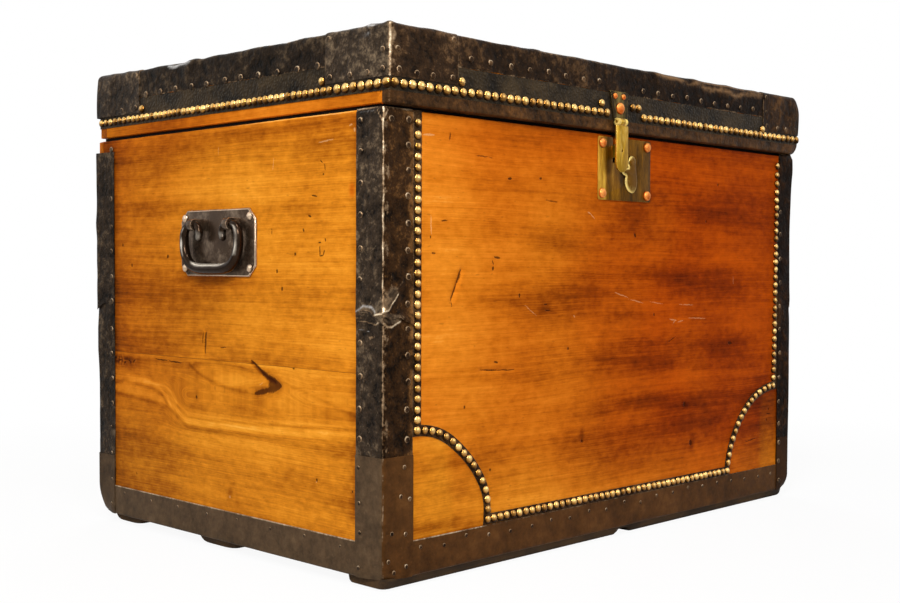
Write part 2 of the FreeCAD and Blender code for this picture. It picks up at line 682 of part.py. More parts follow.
def build_hinges():
    lower, upper, pins = [], [], []
    for sign in (-1, 1):
        x = f"{sign} * hinge_offset"
        left = f"({x} - hinge_width / 2)"
        bore = hinge_barrel(x, "hinge_pin_radius + pin_clearance")
        leaf = block((left, FRONT, f"{HINGE_Z} - lower_leaf_length"),
                     ("hinge_width", "hinge_leaf", "lower_leaf_length"))
        middle = knuckle_room(f"{x} - middle_knuckle / 2", "middle_knuckle")
        lower.append(cut(fuse(leaf, hinge_barrel(x, "knuckle_radius")), middle, bore))
        leaf = block((left, FRONT, HINGE_Z), ("hinge_width", "hinge_leaf", "upper_leaf_length"))
        ends = outer_rooms(knuckle_room, left, x, "hinge_width", "middle_knuckle")
        plate = cut(fuse(leaf, hinge_barrel(x, "knuckle_radius")), *ends)
        upper.append(cut(fuse(plate, stop_tail(sign * size("hinge_offset"))), bore))
        pins.append(hinge_barrel(x, "hinge_pin_radius"))
    node(group(*lower), "hinge_lower_leaves")
    node(group(*upper), "hinge_upper_leaves")
    node(group(*pins), "hinge_pins")


# ---------------------------------------------------------------- hasp
LID_FACE = f"({LID_FRONT} + gauge)"
HASP_Y = f"({LID_FACE} + hasp_knuckle_radius + knuckle_gap)"
HASP_Z = f"({LID_BOTTOM} + hasp_axis_height)"
CASE_TOP = f"({BODY_TOP} - lock_plate_drop - lock_case_drop)"
CASE_BOTTOM = f"({CASE_TOP} - lock_case_height)"
EYE_Z = f"({HASP_Z} - staple_drop)"


def hasp_barrel(half, radius):
    return rod((f"hasp_centre - {half}", f"-{HASP_Y}", HASP_Z), "x", radius, f"2 * {half}")


def hasp_room(start, width):
    reach = "(hasp_knuckle_radius + knuckle_gap)"
    return block((start, f"-{HASP_Y} - {reach}", f"{HASP_Z} - {reach}"),
                 (width, f"2 * {reach}", f"2 * {reach}"))


def build_hasp_leaf():
    """Tapered plate on the lid with the two outer knuckles at its foot."""
    body = body_at(("hasp_centre", f"-{LID_FACE}", HASP_Z), "leaf")
    plate = outline(body, "XZ_Plane", [
        ("-1 * hasp_leaf_foot / 2", "0"), ("hasp_leaf_foot / 2", "0"),
        ("hasp_leaf_lean + hasp_leaf_top / 2", "hasp_leaf_height"),
        ("hasp_leaf_lean - hasp_leaf_top / 2", "hasp_leaf_height")])
    pad(body, plate, "hasp_leaf_gauge")
    barrel = hasp_barrel("strap_width / 2", "hasp_knuckle_radius")
    bore = hasp_barrel("strap_width / 2", "hasp_pin_radius + pin_clearance")
    middle = hasp_room("hasp_centre - hasp_middle_knuckle / 2", "hasp_middle_knuckle")
    node(cut(fuse(body, barrel), middle, bore), "hasp_leaf")
    node(hasp_barrel("strap_width / 2", "hasp_pin_radius"), "hasp_pin")


def build_hasp_rivets():
    x, lean = size("hasp_centre"), size("hasp_leaf_lean")
    face = -(size("carcase_depth") / 2 + size("lid_front_overhang") + size("gauge")
             + size("hasp_leaf_gauge"))
    foot = size("skid_height") + size("carcase_height") + size("seam_gap") + size("hasp_axis_height")
    large = rivet_head(size("hasp_rivet"), size("hasp_rivet_rise"))
    small = rivet_head(size("hasp_small_rivet"), size("hasp_small_rivet_rise"))
    low, high = foot + size("hasp_rivet_height"), foot + size("hasp_leaf_height")
    rivets = heads(large, "front", [Vector(x + lean / 2, face, low)])
    rivets += heads(small, "front", [Vector(x + lean + sign * size("hasp_small_rivet_offset"), face,
                                            high - size("hasp_small_rivet_drop"))
                                     for sign in (-1, 1)])
    node(feature(Part.makeCompound(rivets), "rivets"), "hasp_rivets")


def build_hasp_strap():
    """Hanging strap with the middle knuckle, a rounded foot and a rivet hole for the staple."""
    body = body_at(("hasp_centre", f"-{HASP_Y} + strap_gauge / 2", HASP_Z), "strap")
    plate = outline(body, "XZ_Plane", [
        ("-1 * strap_width / 2", "-1 * strap_length"), ("strap_width / 2", "-1 * strap_length"),
        ("strap_width / 2", "0"), ("-1 * strap_width / 2", "0")])
    pad(body, plate, "strap_gauge")

    def foot_edges(edge):
        return ALONG_Y(edge) and edge.BoundBox.ZMin < -size("strap_length") / 2
    dress(body, "Fillet", "Radius", "strap_end_round", foot_edges)
    rooms = outer_rooms(hasp_room, "hasp_centre - strap_width / 2", "hasp_centre", "strap_width",
                        "hasp_middle_knuckle")
    barrel = hasp_barrel("strap_width / 2", "hasp_knuckle_radius")
    bore = hasp_barrel("strap_width / 2", "hasp_pin_radius + pin_clearance")
    hole = rod(("hasp_centre", f"-{HASP_Y} - strap_gauge", EYE_Z), "y", "strap_hole_radius",
               "2 * strap_gauge")
    node(cut(fuse(body, barrel), *rooms, bore, hole), "hasp_strap")


def build_hasp_staple():
    """Staple on the strap's back; the lock's bolt passes through its eye."""
    corner = ("hasp_centre - staple_thickness / 2", f"-{HASP_Y} + strap_gauge / 2",
              f"{EYE_Z} - staple_rise / 2")
    body = body_at(corner, "staple")
    blade = outline(body, "YZ_Plane", [("0", "0"), ("staple_reach", "0"),
                                       ("staple_reach", "staple_rise"), ("0", "staple_rise")])
    pad(body, blade, "staple_thickness")
    low, high = ("(staple_rise - staple_eye_height) / 2", "(staple_rise + staple_eye_height) / 2")
    near = "staple_reach - staple_tip - staple_eye_length"
    far = "staple_reach - staple_tip"
    eye = outline(body, "YZ_Plane", [(near, low), (far, low), (far, high), (near, high)])
    pocket(body, eye, "staple_thickness", reverse=True)
    node(body, "hasp_staple")


# ---------------------------------------------------------------- lock
PLATE_TOP = f"({BODY_TOP} - lock_plate_drop)"
PLATE_BOTTOM = f"({PLATE_TOP} - lock_plate_height)"
KEY_Z = f"({BODY_TOP} - key_bore_drop)"
PIVOT_Z = f"({BODY_TOP} - cover_pivot_drop)"


def build_lock_plate():
    body = body_at(("lock_centre", f"-{FRONT}", PLATE_BOTTOM), "plate")
    half = "lock_plate_width / 2"
    plate = outline(body, "XZ_Plane", [(f"-1 * {half}", "0"), (half, "0"),
                                       (half, "lock_plate_height"),
                                       (f"-1 * {half}", "lock_plate_height")])
    pad(body, plate, "lock_plate_gauge")
    dress(body, "Fillet", "Radius", "lock_plate_round", ALONG_Y)
    through = "lock_plate_gauge + 2 * overshoot"
    back = f"-{FRONT} - lock_plate_gauge - overshoot"
    slot_low = f"({EYE_Z} - staple_rise / 2 - staple_swing_room)"
    slot = block(("hasp_centre - staple_slot / 2", back, slot_low),
                 ("staple_slot", through, f"{PLATE_TOP} - {slot_low} + overshoot"))
    bore = rod(("key_centre", back, KEY_Z), "y", "key_bore_radius", through)
    key_slot = block(("key_centre - key_slot_width / 2", back, f"{KEY_Z} - key_slot_length"),
                     ("key_slot_width", through, "key_slot_length"))
    pin_hole = rod(("key_centre", back, PIVOT_Z), "y", "cover_pin_radius", through)
    node(cut(body, slot, bore, key_slot, pin_hole), "lock_plate")


def build_lock_rivets():
    x, inset = size("lock_centre"), size("lock_rivet_inset")
    face = -size("carcase_depth") / 2 - size("lock_plate_gauge")
    top = size("skid_height") + size("carcase_height") - size("lock_plate_drop")
    middle = top - size("lock_plate_height") / 2
    out, up = size("lock_plate_width") / 2 - inset, size("lock_plate_height") / 2 - inset
    points = [Vector(x + a * out, face, middle + b * up) for a in (-1, 1) for b in (-1, 1)]
    head = rivet_head(size("lock_rivet"), size("lock_rivet_rise"))
    node(feature(Part.makeCompound(heads(head, "front", points)), "rivets"), "lock_plate_rivets")


BOLT_TIP = "(hasp_centre + staple_thickness / 2 + bolt_staple_gap)"
BOLT_Y = f"(-{HASP_Y} + strap_gauge / 2 + staple_reach - staple_tip - staple_eye_length / 2)"


def build_lock_case():
    """Open-fronted iron tray let into the front panel, with rails above and below the bolt."""
    left = "lock_centre - lock_case_width / 2"
    tray = block((left, f"-{FRONT}", CASE_BOTTOM),
                 ("lock_case_width", "lock_case_depth", "lock_case_height"))
    hollow = block((f"{left} + lock_case_wall", f"-{FRONT}", f"{CASE_BOTTOM} + lock_case_wall"),
                   ("lock_case_width - 2 * lock_case_wall", "lock_case_depth - lock_case_wall",
                    "lock_case_height - 2 * lock_case_wall"))
    notch = block(("hasp_centre - staple_slot / 2", f"-{FRONT}", f"{CASE_TOP} - lock_case_wall"),
                  ("staple_slot", "lock_case_depth - lock_case_wall", "lock_case_wall"))
    rail_depth = "lock_case_depth - lock_case_wall"
    half = "(bolt_height / 2 + bolt_clearance)"
    rails = []
    for start, end in ((BOLT_TIP, "(key_centre - key_room)"),
                       ("(key_centre + key_room)", f"({left} + lock_case_width - lock_case_wall)")):
        for z in (f"{EYE_Z} - {half} - lock_case_wall", f"{EYE_Z} + {half}"):
            rails.append(block((start, f"-{FRONT}", z), (f"{end} - {start}", rail_depth,
                                                         "lock_case_wall")))
    node(fuse(cut(tray, hollow, notch), *rails), "lock_case")


def build_lock_bolt():
    """Square bolt with a talon notch that the key turns in."""
    body = body_at((BOLT_TIP, f"{BOLT_Y} + bolt_thickness / 2", f"{EYE_Z} - bolt_height / 2"), "bolt")
    near = f"(key_centre - {BOLT_TIP} - talon_width / 2)"
    far = f"(key_centre - {BOLT_TIP} + talon_width / 2)"
    side = outline(body, "XZ_Plane", [
        ("0", "0"), (near, "0"), (near, "talon_depth"), (far, "talon_depth"), (far, "0"),
        ("bolt_length", "0"), ("bolt_length", "bolt_height"), ("0", "bolt_height")])
    pad(body, side, "bolt_thickness")
    node(body, "lock_bolt")


def build_keyhole_cover():
    """Pear-shaped drop cover: a small head on the pin and a wide lobe over the keyhole."""
    back = f"-{FRONT} - lock_plate_gauge - cover_gap - cover_gauge"
    head = rod(("key_centre", back, PIVOT_Z), "y", "cover_head_radius", "cover_gauge")
    lobe = rod(("key_centre", back, f"{PIVOT_Z} - cover_lobe_drop"), "y", "cover_lobe_radius",
               "cover_gauge")
    body = body_at(("key_centre", f"{back} + cover_gauge", PIVOT_Z), "neck")
    foot = "cover_neck_rise - cover_lobe_drop"
    neck = outline(body, "XZ_Plane", [("-1 * cover_head_radius", "0"), ("-1 * cover_neck", foot),
                                      ("cover_neck", foot), ("cover_head_radius", "0")])
    pad(body, neck, "cover_gauge")
    hole = rod(("key_centre", f"{back} - overshoot", PIVOT_Z), "y",
               "cover_pin_radius + pin_clearance", "cover_gauge + 2 * overshoot")
    node(cut(fuse(head, lobe, body), hole), "keyhole_cover")
    shaft = rod(("key_centre", back, PIVOT_Z), "y", "cover_pin_radius",
                "cover_gauge + cover_gap + lock_plate_gauge")
    button = rod(("key_centre", f"{back} - cover_pin_head_gauge - pin_clearance", PIVOT_Z), "y",
                 "cover_pin_head", "cover_pin_head_gauge")
    neck_piece = rod(("key_centre", f"{back} - pin_clearance", PIVOT_Z), "y", "cover_pin_radius",
                     "pin_clearance")
    node(fuse(shaft, button, neck_piece), "cover_pin")


# ---------------------------------------------------------------- lifting handles
EYE_PLACE = "(bail_length / 2 - shoulder_bend - bail_end_radius)"


def build_handle_plate(label, side):
    body = body_at((times(side, SIDE), "handle_centre", "handle_height"), "plate")
    half, tall = "handle_plate_length / 2", "handle_plate_height / 2"
    in_y, in_z = f"{half} - handle_plate_corner", f"{tall} - handle_plate_corner"
    quarter = [(half, in_z), (in_y, tall)]
    points = quarter + [(f"-1 * ({y})", z) for y, z in reversed(quarter)]
    points += [(f"-1 * ({y})", f"-1 * ({z})") for y, z in quarter]
    points += [(y, f"-1 * ({z})") for y, z in reversed(quarter)]
    pad(body, outline(body, "YZ_Plane", points), "handle_plate_gauge", reverse=side < 0)

    def outer_edges(edge):
        box = edge.BoundBox
        return box.XLength < TOLERANCE and abs(box.XMin) > size("handle_plate_gauge") - TOLERANCE
    dress(body, "Chamfer", "Size", "handle_plate_bevel", outer_edges)
    node(body, label)


def build_handle_eyes():
    """Eyes that carry the bails' ends: a tube on a foot that stands on the plate."""
    radius = "(bail_end_radius + eye_clearance + eye_wall)"
    eyes = []
    for side in (-1, 1):
        face = times(side, f"({SIDE} + handle_plate_gauge)")
        axis = times(side, f"({SIDE} + handle_standoff)")
        for sign in (-1, 1):
            middle = f"handle_centre + {sign} * ({EYE_PLACE} - eye_width)"
            start = (axis, f"{middle} - eye_width / 2", "handle_height + handle_eye_drop")
            low = face if side > 0 else axis
            foot = block((low, start[1], f"{start[2]} - {radius}"),
                         ("handle_standoff - handle_plate_gauge", "eye_width", f"2 * {radius}"))
            bore = rod(start, "y", "bail_end_radius + eye_clearance", "eye_width")
            eyes.append(cut(fuse(rod(start, "y", radius, "eye_width"), foot), bore))
    node(group(*eyes), "handle_eyes")


def build_handle_rivets():
    inset = size("handle_rivet_inset")
    out = size("handle_plate_length") / 2 - inset
    up = size("handle_plate_height") / 2 - inset
    head = nail_head(size("handle_rivet"), size("handle_rivet_rise"))
    face = size("carcase_length") / 2 + size("handle_plate_gauge")
    rivets = []
    for side, facing in ((-1, "left"), (1, "right")):
        points = [Vector(side * face, size("handle_centre") + a * out, size("handle_height") + b * up)
                  for a in (-1, 1) for b in (-1, 1)]
        rivets += heads(head, facing, points)
    node(feature(Part.makeCompound(rivets), "rivets"), "handle_rivets")


def bail_stations():
    """Centre, direction and radius at each station of half a bail, from the grip's middle."""
    grip, end = size("grip_radius"), size("bail_end_radius")
    bend, shoulder = size("grip_bend"), size("shoulder_bend")
    leg, drop = size("bail_length") / 2 - grip, size("bail_drop")
    stations = []
    for centre_z, turn_radius, first, radius in ((bend - drop, bend, 0, grip),
                                                 (-shoulder, shoulder, math.pi / 2, end)):
        for i in range(BEND_STEPS + 1):
            turn = first + math.pi / 2 * i / BEND_STEPS
            stations.append((leg - turn_radius + turn_radius * math.sin(turn),
                             centre_z - turn_radius * math.cos(turn), turn, radius))
    tip = leg - shoulder - size("bail_end_reach")
    for across, back in BAIL_TIP_RINGS:
        stations.append((tip - back * end, 0, math.pi, across * end))
    return stations


def build_bail(label, side):
    """Bail with a thick round grip, tapering legs and ends turned inwards through the eyes."""
    half = bail_stations()
    mirrored = [(-y, z, -turn, radius) for y, z, turn, radius in reversed(half)]
    rings = []
    for y, z, turn, radius in mirrored + half:
        across = Vector(0, -math.sin(turn), math.cos(turn))
        rings.append([Vector(0, y, z) + Vector(1, 0, 0) * point.x + across * point.y
                      for point in ring_of_points(radius, BAIL_SIDES)])
    result = feature(faceted(rings), "bail")
    x = side * (size("carcase_length") / 2 + size("handle_standoff"))
    result.Placement = Placement(Vector(x, size("handle_centre"),
                                        size("handle_height") + size("handle_eye_drop")), Rotation())
    node(result, label)


# ---------------------------------------------------------------- build, test and write
def build_all():
    build_front_panel()
    build_back_panel()
    build_side_boards()
    build_bottom_boards()
    build_skids()
    build_corner_bindings()
    build_bottom_bindings()
    build_nail_band()
    build_front_nails()
    build_lid_boards()
    build_lid_bands()
    build_lid_strips()
    build_rim_seal()
    build_lid_caps()
    build_lid_nails()
    build_hinges()
    build_hasp_leaf()
    build_hasp_rivets()
    build_hasp_strap()
    build_hasp_staple()
    build_lock_plate()
    build_lock_rivets()
    build_lock_case()
    build_lock_bolt()
    build_keyhole_cover()
    build_handle_plate("left_handle_plate", -1)
    build_handle_plate("right_handle_plate", 1)
    build_handle_eyes()
    build_handle_rivets()
    build_bail("left_bail", -1)
    build_bail("right_bail", 1)


def check_document():
    """Stop on any failed object or broken shape before a file is written."""
    for thing in doc.Objects:
        state = set(thing.State)
        if state & {"Invalid", "Error"}:
            raise RuntimeError(f"{thing.Name} ({thing.Label}) is {sorted(state)}")
    for thing in nodes:
        shape = thing.Shape
        if shape.isNull() or not shape.isValid() or not shape.Solids:
            raise RuntimeError(f"{thing.Label} has no valid solid")


build_all()
doc.recompute()
check_document()
os.makedirs("parts", exist_ok=True)
for thing in nodes:
    thing.Shape.exportStep(os.path.join("parts", thing.Label + ".step"))
whole = Part.makeCompound([thing.Shape for thing in nodes]).BoundBox
print(f"{len(nodes)} sub-parts, {whole.XLength:.1f} x {whole.YLength:.1f} x {whole.ZLength:.1f} mm")
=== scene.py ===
import math
import random

import bmesh
import bpy
import numpy as np
from mathutils import Matrix, Vector, noise


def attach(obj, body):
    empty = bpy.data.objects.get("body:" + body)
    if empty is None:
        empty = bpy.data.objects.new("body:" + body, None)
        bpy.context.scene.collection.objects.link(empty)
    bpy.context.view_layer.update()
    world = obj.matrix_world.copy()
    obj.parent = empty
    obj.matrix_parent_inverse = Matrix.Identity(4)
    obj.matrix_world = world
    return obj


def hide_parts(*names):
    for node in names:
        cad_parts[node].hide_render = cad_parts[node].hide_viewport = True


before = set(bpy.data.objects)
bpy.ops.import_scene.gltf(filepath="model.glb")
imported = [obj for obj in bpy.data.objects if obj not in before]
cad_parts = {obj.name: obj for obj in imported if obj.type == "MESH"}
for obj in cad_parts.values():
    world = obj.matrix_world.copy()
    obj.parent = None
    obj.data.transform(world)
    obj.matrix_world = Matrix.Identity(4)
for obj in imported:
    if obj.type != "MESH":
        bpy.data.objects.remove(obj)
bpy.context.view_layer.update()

MM = 0.001
# The wooden boxes of the carcase and of the lid, which overhangs the carcase, mm.
CARCASE_X, CARCASE_Y, CARCASE_FOOT, CARCASE_TOP = 416, 285, 12, 512
LID_LEFT, LID_RIGHT, LID_FRONT, LID_BACK = -414, 423.5, -292.5, 285
LID_FOOT, LID_PLANKS, LID_TOP = 516, 584, 598
# The lower edges of the lid's bands and nail strips, and of the corners' upper sheets.
BAND_FOOT, STRIP_FOOT, LAP = 563.2, 529, 288


# ---------------------------------------------------------------- shader expressions
class Signal:
    """A socket that takes part in arithmetic: each operation adds its Math node."""

    def __init__(self, finish, socket):
        self.finish, self.socket = finish, socket

    def math(self, operation, *others, clamp=False):
        return self.finish.node("Math", {"operation": operation, "use_clamp": clamp},
                                dict(enumerate((self, *others))))

    def __add__(self, other):
        return self.math("ADD", other)

    def __sub__(self, other):
        return self.math("SUBTRACT", other)

    def __rsub__(self, other):
        return self.finish.node("Math", {"operation": "SUBTRACT"}, {0: other, 1: self})

    def __mul__(self, other):
        return self.math("MULTIPLY", other)

    __radd__ = __add__
    __rmul__ = __mul__

    def clamped(self):
        return self.math("ADD", 0.0, clamp=True)

    def larger(self, other):
        return self.math("MAXIMUM", other)

    def step(self, low, high):
        """0 below low, 1 above high, and a smooth rise between."""
        return self.finish.node("MapRange", {"interpolation_type": "SMOOTHSTEP"},
                                {"Value": self, "From Min": low, "From Max": high})


class Finish:
    """The nodes of one material, or of the world."""

    def __init__(self, tree):
        self.tree = tree
        tree.nodes.clear()

    def node(self, kind, settings=(), sockets=(), output=0):
        made = self.tree.nodes.new("ShaderNode" + kind)
        for name, value in dict(settings).items():
            if name == "stops":
                self.set_stops(made.color_ramp, value)
            else:
                setattr(made, name, value)
        for name, value in dict(sockets).items():
            if isinstance(value, Signal):
                self.tree.links.new(value.socket, made.inputs[name])
            else:
                made.inputs[name].default_value = value
        return Signal(self, made.outputs[output]) if made.outputs else made

    @staticmethod
    def set_stops(ramp, stops):
        for position, _ in stops[1:-1]:
            ramp.elements.new(position)
        for element, (position, colour) in zip(ramp.elements, stops):
            element.position, element.color = position, colour

    def field(self, name):
        """A number stored on the piece's points."""
        return self.node("Attribute", {"attribute_name": name}, output=2)

    def place(self):
        return self.node("TexCoord", output=3)

    def axis(self, vector, index):
        return self.node("SeparateXYZ", sockets={0: vector}, output=index)

    def vector(self, x, y, z):
        return self.node("CombineXYZ", sockets={0: x, 1: y, 2: z})

    def scaled(self, vector, factors):
        return self.node("VectorMath", {"operation": "MULTIPLY"}, {0: vector, 1: factors})

    def noise(self, vector, scale=1.0, detail=2.0, rough=0.5, distortion=0.0):
        return self.node("TexNoise", sockets={"Vector": vector, "Scale": scale, "Detail": detail,
                                              "Roughness": rough, "Distortion": distortion})

    def mix(self, factor, first, second, blend="MIX"):
        return self.node("Mix", {"data_type": "RGBA", "blend_type": blend},
                         {0: factor, 6: first, 7: second}, output=2)

    def tinted(self, factor, colour, tint):
        """The colour multiplied by a tint, as far as the factor says."""
        return self.mix(factor, colour, self.mix(1.0, colour, (*tint, 1.0), "MULTIPLY"))

    def ramp(self, factor, *stops):
        return self.node("ValToRGB", {"stops": stops}, {0: factor})

    def bump(self, height, distance, strength=1.0):
        return self.node("Bump", sockets={"Height": height, "Distance": distance,
                                          "Strength": strength})

    def surface(self, **sockets):
        names = {name.replace("_", " "): value for name, value in sockets.items()}
        return self.node("BsdfPrincipled", sockets=names)

    def finish(self, shader, kind="OutputMaterial"):
        self.node(kind, sockets={"Surface": shader})


def paint(red, green, blue):
    """A colour given in display levels from 0 to 255."""
    levels = [(c / 255 / 12.92) if c < 10.3 else ((c / 255 + 0.055) / 1.055) ** 2.4
              for c in (red, green, blue)]
    return (*levels, 1.0)


def material(name):
    made = bpy.data.materials.new(name + "_finish")
    made.use_nodes = True
    return made, Finish(made.node_tree)


# ---------------------------------------------------------------- finishes
# Scratches and holes of each face: (start across, start height, end across, end height, width), mm.
LEFT_GOUGES = [
    (-182, 367, -182, 356, 1.3), (-190, 362, -187, 357, 1.2), (-187, 357, -183, 356, 1.0),
    (-183.5, 371, -180, 371, 1.1), (-191, 375, -191.5, 373, 1.2), (-168, 423.5, -177, 422, 1.2),
    (-183, 461, -186, 459, 1.0), (-190, 457, -191, 450, 1.0), (-188, 446, -188, 446, 1.6),
    (-114.7, 320, -114.7, 318, 2.0), (-138.7, 359, -138.7, 358, 1.9),
    (-105.5, 340, -105.5, 338, 2.0), (-153, 386, -154, 384, 1.6), (-163, 401, -166, 400, 1.7),
    (203, 346, 203, 344, 2.2), (225, 373, 225, 371, 1.8), (118, 357, 119, 356, 2.6),
    (35, 264, 38, 237, 1.5), (41, 264, 42, 250, 1.2), (55.5, 183, 55.5, 182, 2.3),
    (-177, 108, -177, 107, 1.9), (-237, 102, -237, 102, 1.7), (193, 72, 193, 71, 1.5),
    (147, 225, 120, 224, 1.1), (117, 224, 88, 223, 1.2), (247, 222, 240, 221, 1.5),
    (233, 219, 229, 220, 1.5), (222, 216, 219, 217, 1.5), (212, 220, 208, 219, 1.6),
    (200, 218, 196, 221, 1.9), (-7, 247, 5, 246, 0.8), (-96, 388, -96, 380, 0.8),
    (60, 392, 55, 391, 0.9), (-57, 234, -80, 221, 2.3), (-74, 224, -94, 213, 4.2),
    (-86, 217, -111, 207.5, 5.6), (-94, 213, -97, 203, 8.0), (-109, 206.5, -84, 200, 5.6),
    (-92, 202, -64, 195.5, 4.0), (36.5, 263, 38, 238, 2.5), (-135, 229, -137, 229, 1.2),
]
FRONT_GOUGES = [
    (-296, 341, -303, 326, 2.1), (-303, 326, -312, 308, 1.5), (-312, 308, -312, 300, 0.8),
    (-243, 356, -233, 355, 1.5), (-246, 352, -244, 347, 0.9), (-244.6, 344, -245, 342, 2.1),
    (-219, 446.5, -214, 447, 1.8), (-163, 449.7, -161, 449.7, 1.7), (-199, 313, -199, 310, 1.8),
    (-329, 395.4, -319, 395.2, 1.1), (-343, 359.5, -338, 359.3, 1.2), (-315, 492, -316, 484, 1.1),
    (-345, 378, -345, 376, 1.0), (-152, 424.5, -131, 423, 0.8), (-266, 228, -236, 226, 0.9),
    (-236, 226, -207, 225, 0.8), (-242, 236, -236, 235, 1.3), (-108.8, 246, -108.8, 245, 1.9),
    (-82, 130, -80, 129, 1.9), (-248.5, 113, -248.5, 112, 1.6), (-291, 188, -291, 187, 1.7),
    (220, 461, 220, 460, 2.0), (191, 409, 191, 408, 1.8), (69.7, 283, 70, 282, 1.9),
    (250, 238, 258, 237, 2.6), (142, 159, 142, 158, 3.4), (157, 106, 158, 103, 4.2),
    (356, 119.5, 356, 119.2, 2.2), (361, 135, 361, 134.8, 2.0), (26, 387, 27, 385, 2.6),
    (-152, 293, -143, 292.5, 1.1), (-155, 300, -149, 300, 0.9), (-275, 470, -245, 469, 0.7),
    (98, 243, 120, 252, 0.8), (355, 128, 366, 128, 1.1), (300, 92, 330, 95, 0.8),
]
LEFT_SCRATCHES = [
    (-14.5, 68, -14.5, 67, 1.9), (-176.5, 105, -176.5, 105, 1.2), (-240, 492, -240, 490, 1.9),
    (-236, 497, -232, 496, 1.1), (-73, 206, -80, 210, 0.9), (-100, 469, -98, 455, 0.8),
    (8, 490, 8, 478, 0.7), (-205, 483, -180, 481, 1.1), (-238, 510.2, -150, 510.6, 0.8),
    (-150, 510.6, -20, 510.4, 0.5),
]
FRONT_SCRATCHES = [
    (-72, 413, -66, 411, 1.1), (-66, 411, -58, 405, 1.0), (-357, 487, -340, 488, 1.6),
    (104, 276, 121, 273, 1.2), (112, 269, 119, 274, 1.2), (124, 271, 137, 273, 1.1),
    (150, 276, 193, 274, 1.0), (127, 295, 161, 293.5, 0.9), (-17, 313, 12, 306, 0.9),
    (14, 304, 45, 298, 0.9), (261, 333, 262, 321, 0.9), (-98, 285, -97, 284, 1.5),
    (-190, 300, -168, 287, 0.7), (-345, 400, -344, 380, 1.3), (60, 300, 90, 296, 0.8),
]


def varnished_pine(name):
    made, f = material(name)
    along, across, board = f.field("along"), f.field("across"), f.field("board")

    def grain(length, width, shift=0.0, over=across, **settings):
        """Noise drawn out along the board, with its own place in each board."""
        own = board + shift if shift else board
        return f.noise(f.vector(along * length, over * width, own), **settings)

    sway = grain(2.4, 9.0, detail=1.0) - 0.5
    swayed = across + sway * 0.02
    bands = grain(1.4, 24.0, over=swayed, detail=3.0, rough=0.55)
    lines = grain(7.0, 300.0, over=swayed, detail=2.0, rough=0.6)
    fibre = grain(70.0, 1300.0, detail=1.0)
    blotch = grain(5.0, 9.0, 4.0, detail=4.0, rough=0.6)
    mottle = grain(60.0, 85.0, 6.0, detail=3.0, rough=0.65)
    flecks = grain(90.0, 260.0, 9.0, detail=1.0).step(0.68, 0.78)
    wave = f.node("Math", {"operation": "SINE"}, {0: swayed * 2150.0 + lines * 5.0}) * 0.5 + 0.5
    ruled = wave * grain(3.0, 14.0, 2.0).step(0.46, 0.66)
    tone = (0.5 + (bands - 0.5) * 0.55 + (lines - 0.5) * 0.36 + (fibre - 0.5) * 0.22
            + (blotch - 0.5) * 0.6 + (mottle - 0.5) * 0.42 - ruled * 0.04
            + f.field("light") * 0.5 - f.field("dark") * 0.5)
    colour = f.ramp(tone, (0.0, paint(84, 40, 5)), (0.25, paint(150, 82, 11)),
                    (0.5, paint(204, 126, 26)), (0.72, paint(230, 152, 42)),
                    (1.0, paint(246, 190, 88)))
    colour = f.tinted(f.field("warm").clamped(), colour, (0.76, 0.33, 0.1))
    colour = f.mix(flecks * 0.3, colour, paint(110, 52, 12))
    height = lines * 0.5 + fibre * 0.35 + mottle * 0.5 + ruled * -0.2
    rough = 0.4 + blotch * 0.2
    crumbs = f.noise(f.vector(along, across, board), 600.0, 3.0, 0.6) - 0.5
    gouge = (f.field("gouge") + crumbs * 1.1).step(0.25, 0.75)
    scratch = (f.field("scratch") + crumbs * 1.3).step(0.3, 0.9)
    colour = f.mix(gouge * 0.82, colour, paint(58, 26, 10))
    colour = f.mix(scratch * 0.3, colour, paint(232, 196, 140))
    height = height - gouge * 1.2
    rough = rough + gouge * 0.2
    f.finish(f.surface(Base_Color=colour, Roughness=rough, Specular_IOR_Level=0.02,
                       Normal=f.bump(height, 0.0004, 0.7)))
    return made


def plain_pine(name, light, dark, stain):
    """Bare or worn wood with its grain along x."""
    made, f = material(name)
    place = f.place()
    bands = f.noise(f.scaled(place, (3.0, 40.0, 40.0)), 1.0, 3.0, 0.6)
    lines = f.noise(f.scaled(place, (27.0, 360.0, 360.0)), 1.0, 2.0)
    soot = f.noise(place, 14.0, 4.0, 0.6).step(0.4, 0.7)
    colour = f.ramp(bands * 0.6 + lines * 0.4, (0.3, dark), (0.7, light))
    colour = f.mix(soot * 0.7, colour, stain)
    f.finish(f.surface(Base_Color=colour, Roughness=0.7 + lines * 0.2, Specular_IOR_Level=0.2,
                       Normal=f.bump(lines + bands, 0.0006, 0.5)))
    return made


